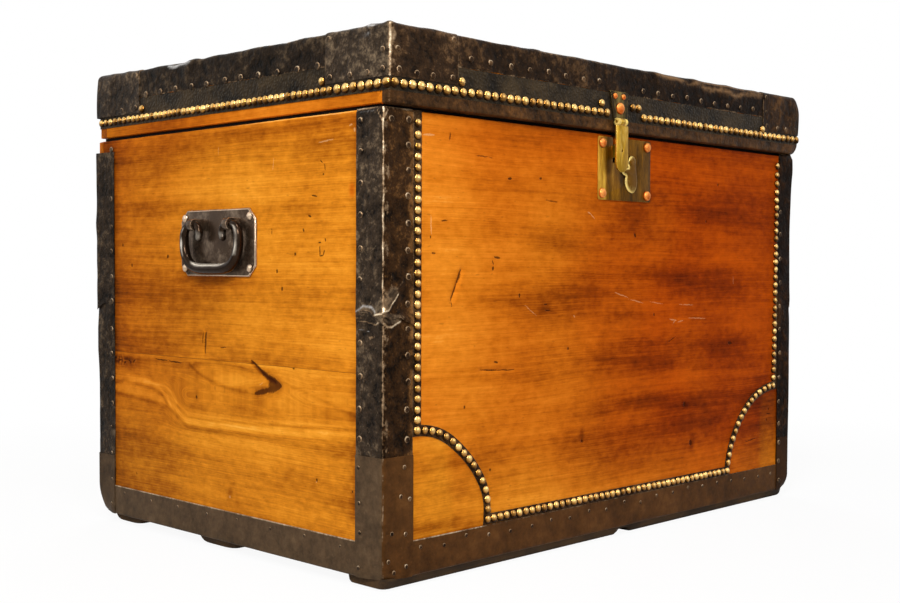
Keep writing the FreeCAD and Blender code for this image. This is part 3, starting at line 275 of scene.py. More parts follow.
def sheet_metal(name, dark, middle, pale, rough=0.32, grain=1.0, dents=1.0, contrast=1.0):
    """Lacquered sheet iron: browned, darkened, rubbed and given painted glints as its fields say.
    """
    made, f = material(name)
    place = f.place()
    cloud = f.noise(place, 19.0, 3.0, 0.55)
    mottle = f.noise(place, 96.0 * grain, 4.0, 0.62)
    fine = f.noise(place, 360.0 * grain, 3.0, 0.6)
    specks = f.noise(place, 200.0 * grain, 3.0, 0.65).step(0.62, 0.73)
    worn, soot = f.field("worn"), f.field("soot").clamped()
    level = ((mottle - 0.5) * (0.95 * contrast) + (cloud - 0.5) * (0.75 * contrast)
             + (fine - 0.5) * (0.35 * contrast))
    # The scuff field lightens scuffed and peeled places and paints a sheen beside the lap.
    colour = f.ramp(level + f.field("scuff") * 0.4 + 0.5, (0.28, dark), (0.56, middle), (0.9, pale))
    colour = f.mix(specks * (0.36 * contrast), colour, pale)
    colour = f.tinted(f.field("rust").clamped(), colour, (0.94, 0.58, 0.28))
    # Darkening of the sheets; on the front right corner and the lid's right it is painted shade.
    colour = f.tinted(soot, colour, (0.17, 0.13, 0.09))
    # Painted glints: a pale grey stands in for light reflected off the sheet.
    glint = (f.field("glint") + (fine - 0.5) * 0.6).step(0.2, 0.95)
    colour = f.mix(glint, colour, paint(182, 180, 178))
    patchy = worn * 1.35 + (mottle - 0.5) * 1.1 + (fine - 0.5) * 0.8 - 0.22
    rubbed = patchy.clamped() * worn.step(0.02, 0.3)
    bright = f.ramp(rubbed, (0.15, paint(78, 60, 42)), (0.5, paint(132, 108, 82)),
                    (0.95, paint(214, 198, 170)))
    colour = f.mix(rubbed.step(0.05, 0.35), colour, bright)
    height = mottle * 1.1 + fine * 0.12 + cloud * 2.0
    metal = (rubbed * 0.15 + 0.42) * (soot * -0.85 + 1.0)
    f.finish(f.surface(Base_Color=colour, Metallic=metal, Roughness=rough + mottle * 0.26,
                       Specular_IOR_Level=0.03, Normal=f.bump(height, 0.0021 * dents, 0.9)))
    return made


def pebbled_iron(name):
    made, f = material(name)
    place = f.place()
    pebbles = f.node("TexVoronoi", {"feature": "SMOOTH_F1"}, {"Vector": place, "Scale": 330.0})
    cloud = f.noise(place, 30.0, 4.0)
    worn = f.noise(place, 60.0, 4.0, 0.65).step(0.6, 0.74)
    colour = f.ramp(cloud, (0.35, paint(22, 17, 11)), (0.65, paint(58, 46, 30)))
    colour = f.mix(pebbles.step(0.35, 0.1) * 0.22, colour, paint(98, 84, 64))
    colour = f.mix(worn * 0.22, colour, paint(122, 102, 76))
    f.finish(f.surface(Base_Color=colour, Metallic=0.4, Roughness=0.36 + cloud * 0.2,
                       Specular_IOR_Level=0.07, Normal=f.bump(pebbles * -1.0 + cloud, 0.0011, 0.9)))
    return made


def bright_metal(name, low, middle, high, rough, metallic, scale=1.0, streaks=(1.0, 1.0, 1.0),
                 shade=None, clouds=0.9):
    """Brass, copper or polished iron: tarnish in the hollows and a field that brightens it."""
    made, f = material(name)
    place = f.place()
    cloud = f.noise(f.scaled(place, streaks), 45.0 * scale, 4.0, 0.6)
    fine = f.noise(f.scaled(place, streaks), 420.0 * scale, 3.0, 0.6)
    level = (cloud - 0.5) * clouds + (fine - 0.5) * (0.5 * clouds) + 0.5 + f.field("bright")
    level = level + shade(f, place) if shade else level
    colour = f.ramp(level, (0.12, low), (0.5, middle), (0.95, high))
    f.finish(f.surface(Base_Color=colour, Metallic=metallic, Roughness=rough + (1.0 - cloud) * 0.18,
                       Specular_IOR_Level=0.05, Normal=f.bump(cloud + fine * 0.4, 0.0006, 0.6)))
    return made


# Nearly black felt of the seal under the lid; its darkness also stands in for the shade in the
# seam.
def felt(name):
    made, f = material(name)
    fuzz = f.noise(f.place(), 600.0, 3.0, 0.7)
    f.finish(f.surface(Base_Color=f.ramp(fuzz, (0.3, paint(8, 7, 7)), (0.7, paint(26, 23, 21))),
                       Roughness=0.9, Specular_IOR_Level=0.1, Normal=f.bump(fuzz, 0.0006, 0.7)))
    return made


IRON_PALE = paint(124, 106, 84)


def plate_shade(f, place):
    """The lock plate is paler on its left, darker on its right, with a painted strap shadow."""
    across = f.axis(place, 0)
    # A painted shadow of the strap, darkest beside it.
    painted_strap_shadow = across.step(-0.041, -0.034) * across.step(-0.022, -0.03)
    return across.step(-0.045, 0.0) * -0.44 + painted_strap_shadow * -0.4 + 0.24


FINISHES = {
    "varnished_pine": varnished_pine("varnished_pine"),
    "plain_pine": plain_pine("plain_pine", paint(196, 138, 78), paint(140, 88, 40),
                             paint(96, 62, 34)),
    "worn_skid": plain_pine("worn_skid", paint(82, 58, 30), paint(36, 25, 14), paint(18, 12, 7)),
    "pebbled_iron": pebbled_iron("pebbled_iron"),
    "seal_felt": felt("seal_felt"),
}
for finish_name, *settings in (
        ("dark_band", paint(22, 15, 8), paint(56, 38, 20), paint(112, 84, 52)),
        ("dark_rim", paint(32, 24, 15), paint(72, 54, 35), paint(116, 86, 52)),
        ("hinge_iron", paint(30, 24, 20), paint(70, 58, 46), IRON_PALE),
        ("lock_iron", paint(30, 27, 25), paint(70, 62, 56), IRON_PALE),
        ("sheet_iron", paint(17, 14, 11), paint(58, 48, 38), paint(140, 122, 98)),
        ("smooth_iron", paint(58, 47, 35), paint(86, 70, 52), paint(116, 98, 76), 0.4, 0.7, 0.2,
         0.75)):
    FINISHES[finish_name] = sheet_metal(finish_name, *settings)
STREAKS = (1.6, 1.0, 0.35)
PLAIN = (1.0, 1.0, 1.0)
for finish_name, *settings in (
        ("brass_nail", paint(44, 27, 10), paint(158, 110, 48), paint(248, 208, 132), 0.13, 0.9,
         1.4),
        ("hasp_brass", paint(104, 68, 10), paint(180, 136, 34), paint(246, 214, 118), 0.2, 0.85,
         1.0, STREAKS),
        ("copper_rivet", paint(92, 34, 6), paint(186, 82, 14), paint(240, 156, 78), 0.26, 0.6),
        ("lock_brass", paint(54, 33, 3), paint(126, 82, 8), paint(214, 166, 60), 0.28, 0.6, 0.8,
         (2.4, 1.0, 0.4), plate_shade),
        ("handle_iron", paint(20, 15, 10), paint(74, 58, 45), paint(214, 188, 160), 0.18, 0.75,
         0.6, PLAIN, None, 0.5),
        ("leaf_bronze", paint(20, 15, 6), paint(40, 30, 14), paint(236, 204, 112), 0.34, 0.35,
         1.0, STREAKS, None, 0.5),
        ("cover_brass", paint(58, 36, 4), paint(104, 68, 10), paint(244, 214, 128), 0.26, 0.5,
         0.6, PLAIN, None, 0.45),
        ("bail_iron", paint(14, 10, 7), paint(48, 36, 27), paint(244, 232, 214), 0.13, 0.8,
         0.5, PLAIN, None, 0.22)):
    FINISHES[finish_name] = bright_metal(finish_name, *settings)


# ---------------------------------------------------------------- forms
class Form:
    """Points in millimetres, faces between them, and numbers stored on the points."""

    def __init__(self, points, faces, **fields):
        self.points = np.asarray(points, float).reshape(-1, 3)
        self.faces = [tuple(face) for face in faces]
        self.fields = fields


def joined(forms):
    names = sorted({name for form in forms for name in form.fields})
    faces, start = [], 0
    for form in forms:
        faces += [tuple(i + start for i in face) for face in form.faces]
        start += len(form.points)
    fields = {name: np.concatenate([form.fields.get(name, np.zeros(len(form.points)))
                                    for form in forms]) for name in names}
    return Form(np.vstack([form.points for form in forms]), faces, **fields)


def dressed(thing, body, slot, replaces=(), finish=None):
    thing.data.materials.clear()
    thing.data.materials.append(finish or FINISHES[slot])
    bpy.context.scene.collection.objects.link(thing)
    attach(thing, body)
    if replaces:
        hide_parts(*replaces)
    return thing


CREASE = math.radians(35)
ROUND_CREASE = math.radians(60)


def piece(name, form, body, slot, replaces=(), crease=CREASE):
    mesh = bpy.data.meshes.new(name)
    mesh.from_pydata((form.points * MM).tolist(), [], form.faces)
    for field, values in form.fields.items():
        store = mesh.attributes.new(field, "FLOAT", "POINT")
        store.data.foreach_set("value", np.asarray(values, np.float32))
    mesh.shade_smooth()
    mesh.set_sharp_from_angle(angle=crease)
    return dressed(bpy.data.objects.new(name, mesh), body, slot, replaces)


def softened(node, body, slot, width, finish=None):
    """The node's own shape with its hard edges eased and rubbed."""
    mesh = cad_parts[node].data.copy()
    mesh.name = node + "_eased"
    shape = bmesh.new()
    shape.from_mesh(mesh)
    bmesh.ops.remove_doubles(shape, verts=shape.verts, dist=1e-6)
    bmesh.ops.dissolve_limit(shape, angle_limit=math.radians(1), verts=shape.verts,
                             edges=shape.edges)
    hard = [e for e in shape.edges if e.is_manifold and e.calc_face_angle(0) > math.radians(32)]
    bevel = bmesh.ops.bevel(shape, geom=hard, offset=width * MM, offset_type="OFFSET", segments=2,
                            profile=0.6, affect="EDGES", clamp_overlap=True)
    eased = set(bevel["faces"])
    rubbed = [float(all(face in eased for face in vert.link_faces)) for vert in shape.verts]
    shape.to_mesh(mesh)
    shape.free()
    for field, share in (("worn", 0.55), ("bright", 0.5)):
        store = mesh.attributes.new(field, "FLOAT", "POINT")
        store.data.foreach_set("value", np.array(rubbed, np.float32) * share)
    mesh.shade_smooth()
    mesh.set_sharp_from_angle(angle=CREASE)
    return dressed(bpy.data.objects.new(mesh.name, mesh), body, slot, (node,), finish)


def flat(u, v, stretch=1):
    """Points of a face, for noise that lies in its plane."""
    return np.c_[u, v * stretch, 0 * u]


def ripple(points, size, seed):
    """Smooth noise from -1 to 1 at each point, for a feature size in millimetres."""
    shift = Vector((seed * 17.3, seed * 5.1, seed * 9.7))
    return np.array([noise.noise(Vector(p) / size + shift) for p in points])


def blob(u, v, middle, spread, power=1.0):
    """A soft round or oval patch, 1 in the middle."""
    away = ((u - middle[0]) / spread[0]) ** 2 + ((v - middle[1]) / spread[1]) ** 2
    return np.exp(-away ** power)


def along_line(u, v, route, width):
    """1 on a bent line, falling off smoothly with the distance from it."""
    best = np.full(len(u), 1e9)
    for (u0, v0), (u1, v1) in zip(route, route[1:]):
        run = np.array([u1 - u0, v1 - v0], float)
        share = np.clip(((u - u0) * run[0] + (v - v0) * run[1]) / run.dot(run), 0, 1)
        best = np.minimum(best, (u - u0 - share * run[0]) ** 2 + (v - v0 - share * run[1]) ** 2)
    return np.exp(-best / width ** 2)


def patches(u, v, *rows):
    """The sum of soft patches: amount, middle and spread of each."""
    return sum(amount * blob(u, v, (a, b), (wide, tall)) for amount, a, b, wide, tall in rows)


def traces(u, v, *rows):
    """The sum of soft lines: amount, route and half width of each."""
    return sum(amount * along_line(u, v, route, width) for amount, route, width in rows)


def moved(route, rise):
    return [(a, b + rise) for a, b in route]


def ramp01(values, low, high):
    t = np.clip((values - low) / (high - low), 0, 1)
    return t * t * (3 - 2 * t)


class Case:
    """A box with rounded arrises, on which boards and sheets are shaped."""

    def __init__(self, low, high, arris, rim, corners):
        self.low, self.high = np.array(low, float), np.array(high, float)
        self.arris, self.rim, self.corners = arris, rim, corners

    def radii(self, points):
        radii = np.full(points.shape, float(self.arris))
        radii[:, 2] = np.where(points[:, 2] > (self.low[2] + self.high[2]) / 2, *self.rim)
        return radii

    def shaped(self, points, lift):
        """Points of the sharp box carried to the rounded one and moved out by lift."""
        radii = self.radii(points)
        core = np.clip(points, self.low + radii, self.high - radii)
        unit = (points - core) / radii
        unit /= np.maximum(np.linalg.norm(unit, axis=1), 1e-9)[:, None]
        normal = unit / radii
        normal /= np.maximum(np.linalg.norm(normal, axis=1), 1e-9)[:, None]
        return core + unit * radii + normal * lift[:, None], normal

    def trimmed(self, points):
        """Points outside the rounded box drawn in to it."""
        radii = self.radii(points)
        core = np.clip(points, self.low + radii, self.high - radii)
        unit = (points - core) / radii
        far = np.maximum(np.linalg.norm(unit, axis=1), 1.0)
        return core + unit / far[:, None] * radii

    def knocked(self, points):
        """The vertical arrises drawn in near the corners that are knocked round."""
        result = points.copy()
        for sx, sy, start, end, depth, reach in self.corners:
            edge = np.array([self.high[0] if sx > 0 else self.low[0],
                             self.high[1] if sy > 0 else self.low[1]])
            away = np.linalg.norm(points[:, :2] - edge, axis=1)
            share = np.clip((points[:, 2] - start) / (end - start), 0, 1) ** 2
            share = share * np.clip(1 - away / reach, 0, 1)
            result[:, 0] -= sx * depth * share
            result[:, 1] -= sy * depth * share
        return result


# Knocked corners: side in x and in y, start and end height, depth and reach.
WORN_FOOT, SHORT_WORN_FOOT = (52, 11, 8.5, 34), (34, 11, 7, 22)
CARCASE = Case((-CARCASE_X, -CARCASE_Y, CARCASE_FOOT), (CARCASE_X, CARCASE_Y, CARCASE_TOP), 3.5,
               (1.5, 2.0), [(-1, -1, *WORN_FOOT), (-1, 1, *WORN_FOOT),
                            (1, -1, *SHORT_WORN_FOOT), (1, 1, *WORN_FOOT)])
LID = Case((LID_LEFT, LID_FRONT, LID_FOOT), (LID_RIGHT, LID_BACK, LID_TOP), 4.5, (4.5, 1.2),
           [(1, -1, 574, 599, 5.5, 11), (1, -1, 530, 515, 6, 16), (-1, -1, 592, 600, 0.6, 10),
            (1, 1, 582, 600, 4, 22)])


class Skin:
    """Welded quads on the faces of a sharp box."""

    def __init__(self):
        self.points, self.faces, self.known = [], [], {}

    def vertex(self, point):
        key = tuple(round(float(c), 2) for c in point)
        if key not in self.known:
            self.known[key] = len(self.points)
            self.points.append(key)
        return self.known[key]

    def patch(self, corner, across, up, columns, rows):
        corner, across, up = (np.array(v, float) for v in (corner, across, up))
        ids = [[self.vertex(corner + across * c + up * r) for c in columns] for r in rows]
        for r in range(len(rows) - 1):
            for c in range(len(columns) - 1):
                self.faces.append((ids[r][c], ids[r][c + 1], ids[r + 1][c + 1], ids[r + 1][c]))
        return self


def spaced(start, end, step, near=(), fine=0.9, margin=3.6):
    """Positions from start to end, closer together beside the named places."""
    values = set(np.linspace(start, end, max(2, int(round((end - start) / step)) + 1)).round(3))
    for middle in near:
        for i in range(-int(margin / fine), int(margin / fine) + 1):
            value = round(middle + i * fine, 3)
            if start < value < end:
                values.add(value)
    values = sorted(values)
    kept = [values[0]]
    for value in values[1:]:
        if value - kept[-1] > 0.35:
            kept.append(value)
    kept[-1] = values[-1]
    return kept


def shell(skin, case, gauge, base, lift, worn=None, bend=None, tints=None):
    """A sheet of the given gauge lying on the case, over whatever is base thick below it."""
    sharp = np.array(skin.points, float)
    raised = lift(sharp)
    placed = sharp if bend is None else bend(sharp)
    outer, normal = case.shaped(placed, base + gauge + raised)
    inner, _ = case.shaped(placed, base + np.maximum(raised, 0.02))
    a, b, c = (outer[[face[i] for face in skin.faces]] for i in (0, 1, 2))
    facing = np.einsum("ij,ij->i", np.cross(b - a, c - b), normal[[face[0] for face in skin.faces]])
    faces = [face if side > 0 else face[::-1] for face, side in zip(skin.faces, facing)]
    edges = {(face[i - 1], face[i]) for face in faces for i in range(4)}
    border = [(i, j) for i, j in edges if (j, i) not in edges]
    count = len(sharp)
    faces += [tuple(i + count for i in reversed(face)) for face in faces]
    faces += [(j, i, i + count, j + count) for i, j in sorted(border)]
    fields = {"worn": np.zeros(count) if worn is None else worn(sharp),
              "rust": np.where(sharp[:, 1] < case.low[1] + 0.01, 1.0, 0.15)}
    fields.update(tints(sharp) if tints else {})
    points = case.knocked(np.vstack([outer, inner]))
    doubled = {name: np.concatenate([values, values]) for name, values in fields.items()}
    return Form(points, faces, **doubled)


def strokes(u, v, marks):
    """1 along every mark (start, end and half width), tapering to its ends, and 0 beside it."""
    best = np.zeros(len(u))
    stray = 0.7 * ripple(flat(u, v), 5, 37)
    for a, b, c, d, width in marks:
        run = np.array([c - a, d - b], float)
        share = np.clip(((u - a) * run[0] + (v - b) * run[1]) / max(run.dot(run), 1e-9), 0, 1)
        long = min(1.0, math.hypot(*run) / 8)
        wide = width * (1 - 0.55 * long * np.abs(2 * share - 1) ** 2)
        gap = np.hypot(u - a - share * run[0] + stray * long,
                       v - b - share * run[1] + stray * long)
        best = np.maximum(best, np.clip(1.3 - gap / wide, 0, 1))
    return best


def divided(spots, faces, marks):
    """The fine face divided again round every mark."""
    shape = bmesh.new()
    verts = [shape.verts.new(spot) for spot in spots]
    for face in faces:
        shape.faces.new([verts[i] for i in face])
    fine = [face for face in shape.faces
            if max(v.co.z for v in face.verts) < 1e-6 and len(face.verts) == 4]
    middles = np.array([face.calc_center_median()[:2] for face in fine])
    wide = [(a, b, c, d, width + 2.4) for a, b, c, d, width in marks]
    near = strokes(middles[:, 0], middles[:, 1], wide) > 0.25
    edges = {edge for face, close in zip(fine, near) if close for edge in face.edges}
    bmesh.ops.subdivide_edges(shape, edges=list(edges), cuts=3, use_grid_fill=True)
    shape.verts.index_update()
    result = ([tuple(v.co) for v in shape.verts],
              [tuple(v.index for v in face.verts) for face in shape.faces])
    shape.free()
    return result


def slab(case, us, vs, rings, place, relief, fields, pockets=(), marks=()):
    """A board whose outer face is a fine grid. Rings: depth and end trim, towards its back."""
    spots, faces, known = [], [], {}

    def vertex(u, v, depth):
        key = (round(u, 3), round(v, 3), round(depth, 3))
        if key not in known:
            known[key] = len(spots)
            spots.append(key)
        return known[key]

    def quad(*corners):
        ids = list(dict.fromkeys(vertex(*corner) for corner in corners))
        if len(ids) > 2:
            faces.append(tuple(ids))

    def depth_of(i, j):
        if not (0 <= i < len(us) - 1 and 0 <= j < len(vs) - 1):
            return None
        u, v = (us[i] + us[i + 1]) / 2, (vs[j] + vs[j + 1]) / 2
        return max([deep for u0, u1, v0, v1, deep in pockets if u0 < u < u1 and v0 < v < v1],
                   default=0.0)

    ends = (us[0], us[-1])
    for i in range(len(us) - 1):
        for j in range(len(vs) - 1):
            d = depth_of(i, j)
            u0, u1, v0, v1 = us[i], us[i + 1], vs[j], vs[j + 1]
            quad((u0, v0, d), (u1, v0, d), (u1, v1, d), (u0, v1, d))
            sides = ((0, -1, (u0, v0), (u1, v0)), (1, 0, (u1, v0), (u1, v1)),
                     (0, 1, (u1, v1), (u0, v1)), (-1, 0, (u0, v1), (u0, v0)))
            for di, dj, (ua, va), (ub, vb) in sides:
                beside = depth_of(i + di, j + dj)
                if beside is None:
                    last, trim = d, 0.0
                    for deep, cut in rings:
                        limits = [(ends[0] + t, ends[1] - t) for t in (trim, cut)]
                        a = [min(max(ua, lo), hi) for lo, hi in limits]
                        b = [min(max(ub, lo), hi) for lo, hi in limits]
                        if deep > last or cut != trim:
                            quad((a[0], va, last), (a[1], va, max(deep, last)),
                                 (b[1], vb, max(deep, last)), (b[0], vb, last))
                        last, trim = max(deep, last), cut
                elif beside > d:
                    quad((ua, va, d), (ua, va, beside), (ub, vb, beside), (ub, vb, d))
    deep, cut = rings[-1]
    low, high = ends[0] + cut, ends[1] - cut
    inside = [u for u in us if low < u < high]
    loop = ([(u, vs[0]) for u in [low] + inside + [high]] + [(high, v) for v in vs[1:-1]]
            + [(u, vs[-1]) for u in [high] + inside[::-1] + [low]]
            + [(low, v) for v in vs[-2:0:-1]])
    back = list(dict.fromkeys(vertex(u, v, deep) for u, v in loop))
    faces.append(tuple(reversed(back)))
    if marks:
        spots, faces = divided(spots, faces, marks)
    u, v, deep = np.array(spots).T
    array = np.column_stack(place(u, v, deep)).astype(float)
    surface = deep < 1e-6
    sunk = np.zeros(len(array))
    sunk[surface] = relief(u[surface], v[surface])
    shaped, _ = case.shaped(array, -sunk)
    result = np.where(surface[:, None], shaped, case.trimmed(array))
    hidden = {"dark": 0.35, "warm": 0.4}
    stored = {name: np.where(surface, values, hidden.get(name, 0))
              for name, values in fields(u, v).items()}
    across = (v + deep + stored.pop("bend", 0)) * MM
    return Form(case.knocked(result), faces, along=u * MM, across=across, **stored)


def node_points(node):
    return np.array([v.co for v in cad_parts[node].data.vertices]) / MM


def levels(node, axis):
    """The heights or widths at which a node's boards start and end, in millimetres."""
    return sorted(set(node_points(node)[:, axis].round(2)))


# ---------------------------------------------------------------- wooden boards
KNOT = [(-58, 231), (-86, 216), (-100, 211)]
KNOT_BODY = [(-93, 213), (-110, 207.6), (-88, 201), (-68, 196)]
FLAME = [(260, 184), (218, 180), (160, 176), (120, 172), (98, 163), (75, 152), (20, 152),
         (-55, 154), (-140, 158), (-260, 165)]
FLAME_EDGE = [(222, 190), (190, 194), (130, 192), (108, 184), (99, 174)]
SWIRL = [(250, 196), (215, 199), (170, 197), (140, 190), (122, 178), (112, 168)]
SWIRL_EDGE = [(248, 187), (225, 193), (195, 190), (160, 187), (135, 182), (122, 171)]
RAYS = [(-118, 212), (-150, 205), (-190, 196), (-245, 183)]
EYE_LINE = [(70, 222), (50, 212), (20, 203), (-10, 198), (-50, 196)]
EYE_TOP = [(60, 224), (20, 228), (-30, 226), (-58, 221)]


def left_relief(u, v):
    place = flat(u, v)
    sunk = 0.35 * (0.5 + 0.5 * ripple(place, 70, 1)) + 0.1 * (1 + ripple(place, 9, 2))
    sunk += 1.2 * along_line(u, v, KNOT, 2.2) + 1.2 * along_line(u, v, KNOT_BODY, 5.5)
    sunk += 1.2 * along_line(u, v, [(36, 264), (39, 237)], 2.6)
    sunk += 0.7 * strokes(u, v, LEFT_GOUGES)
    return sunk


def left_fields(u, v):
    """Grain of the left wall: flame, swirls, knot, darker edges and painted shade to the back."""
    place = flat(u, v)
    light = traces(u, v, (0.34, FLAME, 5), (0.35, FLAME_EDGE, 2.6),
                   (0.25, moved(FLAME[3:], 9), 2.2), (0.3, SWIRL, 2.2))
    light += patches(u, v, (0.25, -20, 440, 130, 16), (0.22, -200, 300, 90, 120),
                     (0.18, -40, 115, 190, 26))
    light += 0.3 * blob(u, v, (-22, 208), (34, 8.5), 2.0)
    # A painted highlight on the lower board's edge under the seam.
    light += 0.3 * ramp01(v, 231, 229) * blob(u, v, (0, 229), (400, 4))
    light += 0.3 * blob(u, v, (-190, 205), (60, 26)) * (0.6 + 0.6 * ripple(flat(u, v, 6), 60, 5))
    light += 0.9 * ramp01(v, 508.8, 511.4) * ramp01(u, -30, -110)
    dark = traces(u, v, (0.3, moved(FLAME[4:], 5), 1.8), (0.25, RAYS, 1.8),
                  (0.3, moved(FLAME[:5], -7), 3), (0.35, SWIRL_EDGE, 2.0), (0.36, EYE_LINE, 2.0),
                  (0.3, EYE_TOP, 2.6), (0.8, KNOT, 2.4), (0.55, KNOT_BODY, 8))
    # The patch at (10, 336) is a painted shadow under the handle plate.
    dark += patches(u, v, (0.25, -84, 222, 14, 4), (0.35, 150, 423, 95, 7), (0.25, 130, 412, 90, 4),
                    (0.3, 120, 290, 110, 42), (0.25, 150, 480, 150, 14), (0.3, -140, 412, 60, 10),
                    (0.4, -15, 74, 6, 7), (0.3, -60, 500, 240, 9), (0.45, -145, 160, 12, 3),
                    (0.55, 10, 336, 62, 12), (0.3, 200, 215, 40, 8))
    dark += 0.4 * along_line(u, v, moved(FLAME[4:], -8), 3) * blob(u, v, (0, 145), (170, 60))
    dark += 0.9 * blob(u, v, (228, 219), (24, 6)) * (0.4 + 1.2 * ripple(place, 4, 8))
    dark += 0.3 * blob(u, v, (-62, 179), (56, 13), 2.0) * (0.8 + 0.5 * ripple(place, 12, 9))
    dark += 0.2 * blob(u, v, (-250, 120), (40, 90)) * (0.5 + ripple(place, 6, 3))
    # Painted shade: darker towards the back, away from the light.
    dark += 0.3 * ramp01(u, 30, 285) * (0.9 + 0.4 * ripple(place, 80, 14))
    dark += 0.25 * ramp01(np.abs(u), 228, 246) * ramp01(v, 60, 70) + 0.12 * ramp01(u, 190, 250)
    dark += 0.16 * ramp01(v, 170, 60) + 0.15 * ramp01(u, -40, -220)
    warm = 0.08 + 0.6 * blob(u, v, (-236, 427), (5, 9), 2.0) + 0.2 * ramp01(v, 470, 512)
    # Painted shade: redder towards the back, away from the light.
    warm += 0.42 * ramp01(u, -60, 285) * (0.75 + 0.3 * ripple(place, 90, 4))
    # The warm patch at (10, 330) belongs to the painted shadow under the handle plate.
    warm += 0.2 * blob(u, v, (10, 330), (70, 18)) - 0.35 * ramp01(v, 190, 80)
    bend = 32 * (1 - ramp01(u, 72, 132)) * blob(u, v, (0, 168), (900, 26), 2.0)
    bend -= 1.25 * (v - 212) * blob(u, v, (8, 212), (74, 13))
    bend -= 0.9 * (v - 207) * blob(u, v, (-112, 207), (34, 16))
    return {"light": light, "dark": dark, "warm": np.clip(warm, 0, 1), "bend": bend * (v < 230.5),
            "gouge": strokes(u, v, LEFT_GOUGES), "scratch": strokes(u, v, LEFT_SCRATCHES)}


def front_relief(u, v):
    place = flat(u, v)
    sunk = 0.35 * (0.5 + 0.5 * ripple(place, 80, 7)) + 0.1 * (1 + ripple(place, 9, 8))
    sunk += 2.4 * along_line(u, v, [(-296, 341), (-303, 326), (-311, 309)], 3.0)
    sunk += 0.7 * along_line(u, v, [(-266, 228), (-236, 226), (-207, 225)], 2.0)
    sunk += 0.6 * strokes(u, v, FRONT_GOUGES)
    return sunk


SMOKE = [(0.14, [(-40, 222), (60, 213), (150, 212), (240, 208), (350, 205)], 22),
         (0.17, [(60, 214), (150, 209), (330, 202)], 6), (0.15, [(-60, 228), (110, 218)], 4),
         (0.18, [(-10, 168), (80, 160), (190, 155)], 5), (0.17, [(150, 188), (350, 182)], 5)]


def front_fields(u, v):
    """Front grain: paler left and low down; painted shade makes the right redder and browner."""
    light = patches(u, v, (0.28, -330, 330, 70, 150), (0.22, -300, 290, 90, 30),
                    (0.26, -210, 100, 150, 30), (0.18, 90, 300, 70, 16), (0.4, 128, 275, 14, 3))
    light += 0.3 * ramp01(v, 120, 60) * ramp01(u, -300, -200)
    dark = traces(u, v, *SMOKE) + patches(
        u, v, (0.32, -145, 375, 44, 16), (0.28, 130, 334, 120, 12), (0.5, 160, 102, 6, 9),
        (0.35, 143, 157, 7, 5), (0.4, -81, 137, 4, 12), (0.3, 25, 399, 34, 12),
        (0.3, 5, 283, 46, 8), (0.22, -300, 335, 16, 20), (0.2, -60, 170, 130, 26),
        (0.2, 120, 165, 140, 12), (0.22, 80, 130, 150, 14), (0.18, -100, 485, 150, 18),
        (0.1, 40, 400, 240, 60), (0.25, 250, 238, 70, 12), (0.35, -152, 293, 14, 6),
        (0.2, 180, 420, 130, 34), (0.2, -390, 80, 30, 40), (0.25, -345, 62, 40, 8))
    slope = v + 0.05 * u
    dark += 0.22 * (0.4 + ripple(flat(u, slope, 4), 150, 9)) * ramp01(u, -250, 150)
    dark += 0.15 * ramp01(u, 250, 345) * ramp01(v, 190, 150) + 0.22 * ramp01(v, 185, 125)
    # Painted shade darker towards the right, and a painted shadow under the lid's overhang at the
    # top.
    dark += 0.1 * ramp01(u, -330, 330) + 0.2 * ramp01(v, 500, 511)
    bare = ramp01(v, 172, 150) * np.maximum(ramp01(u, -300, -330), ramp01(u, 330, 345))
    # Painted shade: redder towards the right, away from the light.
    warm = 0.45 + 0.62 * ramp01(u, -340, 260) + 0.16 * ramp01(v, 430, 500)
    warm += 0.14 * ripple(flat(u, v), 110, 6) - 0.3 * ramp01(v, 150, 60) - 0.35 * bare
    return {"light": light + 0.05 * bare, "dark": dark, "warm": np.clip(warm, 0, 1),
            "gouge": strokes(u, v, FRONT_GOUGES), "scratch": strokes(u, v, FRONT_SCRATCHES)}


def plain_fields(seed):
    def fields(u, v):
        return {"light": 0.2 * ripple(flat(u, v, 4), 150, seed),
                "dark": 0.25 * ripple(flat(u, v, 5), 120, seed + 1),
                "warm": np.clip(0.5 + 0.3 * ripple(flat(u, v), 160, seed + 2), 0, 1)}
    return fields


def plain_relief(u, v):
    return 0.2 * (1 + ripple(flat(u, v), 60, 3))


def numbered(form, number):
    form.fields["board"] = np.full(len(form.points), float(number))
    return form


def tongue(low, high):
    """The hidden strip that closes the seam between two boards."""
    corners = [(x, y, z) for x in (low[0], high[0]) for y in (low[1], high[1])
               for z in (low[2], high[2])]
    faces = [(0, 1, 3, 2), (4, 6, 7, 5), (0, 4, 5, 1), (2, 3, 7, 6), (0, 2, 6, 4), (1, 5, 7, 3)]
    return Form(corners, faces, dark=np.full(8, 0.7))


def board_with_ends(length, step):
    """Positions along a board, finer where its ends are rounded."""
    return spaced(-length, length, step, (-length, length))


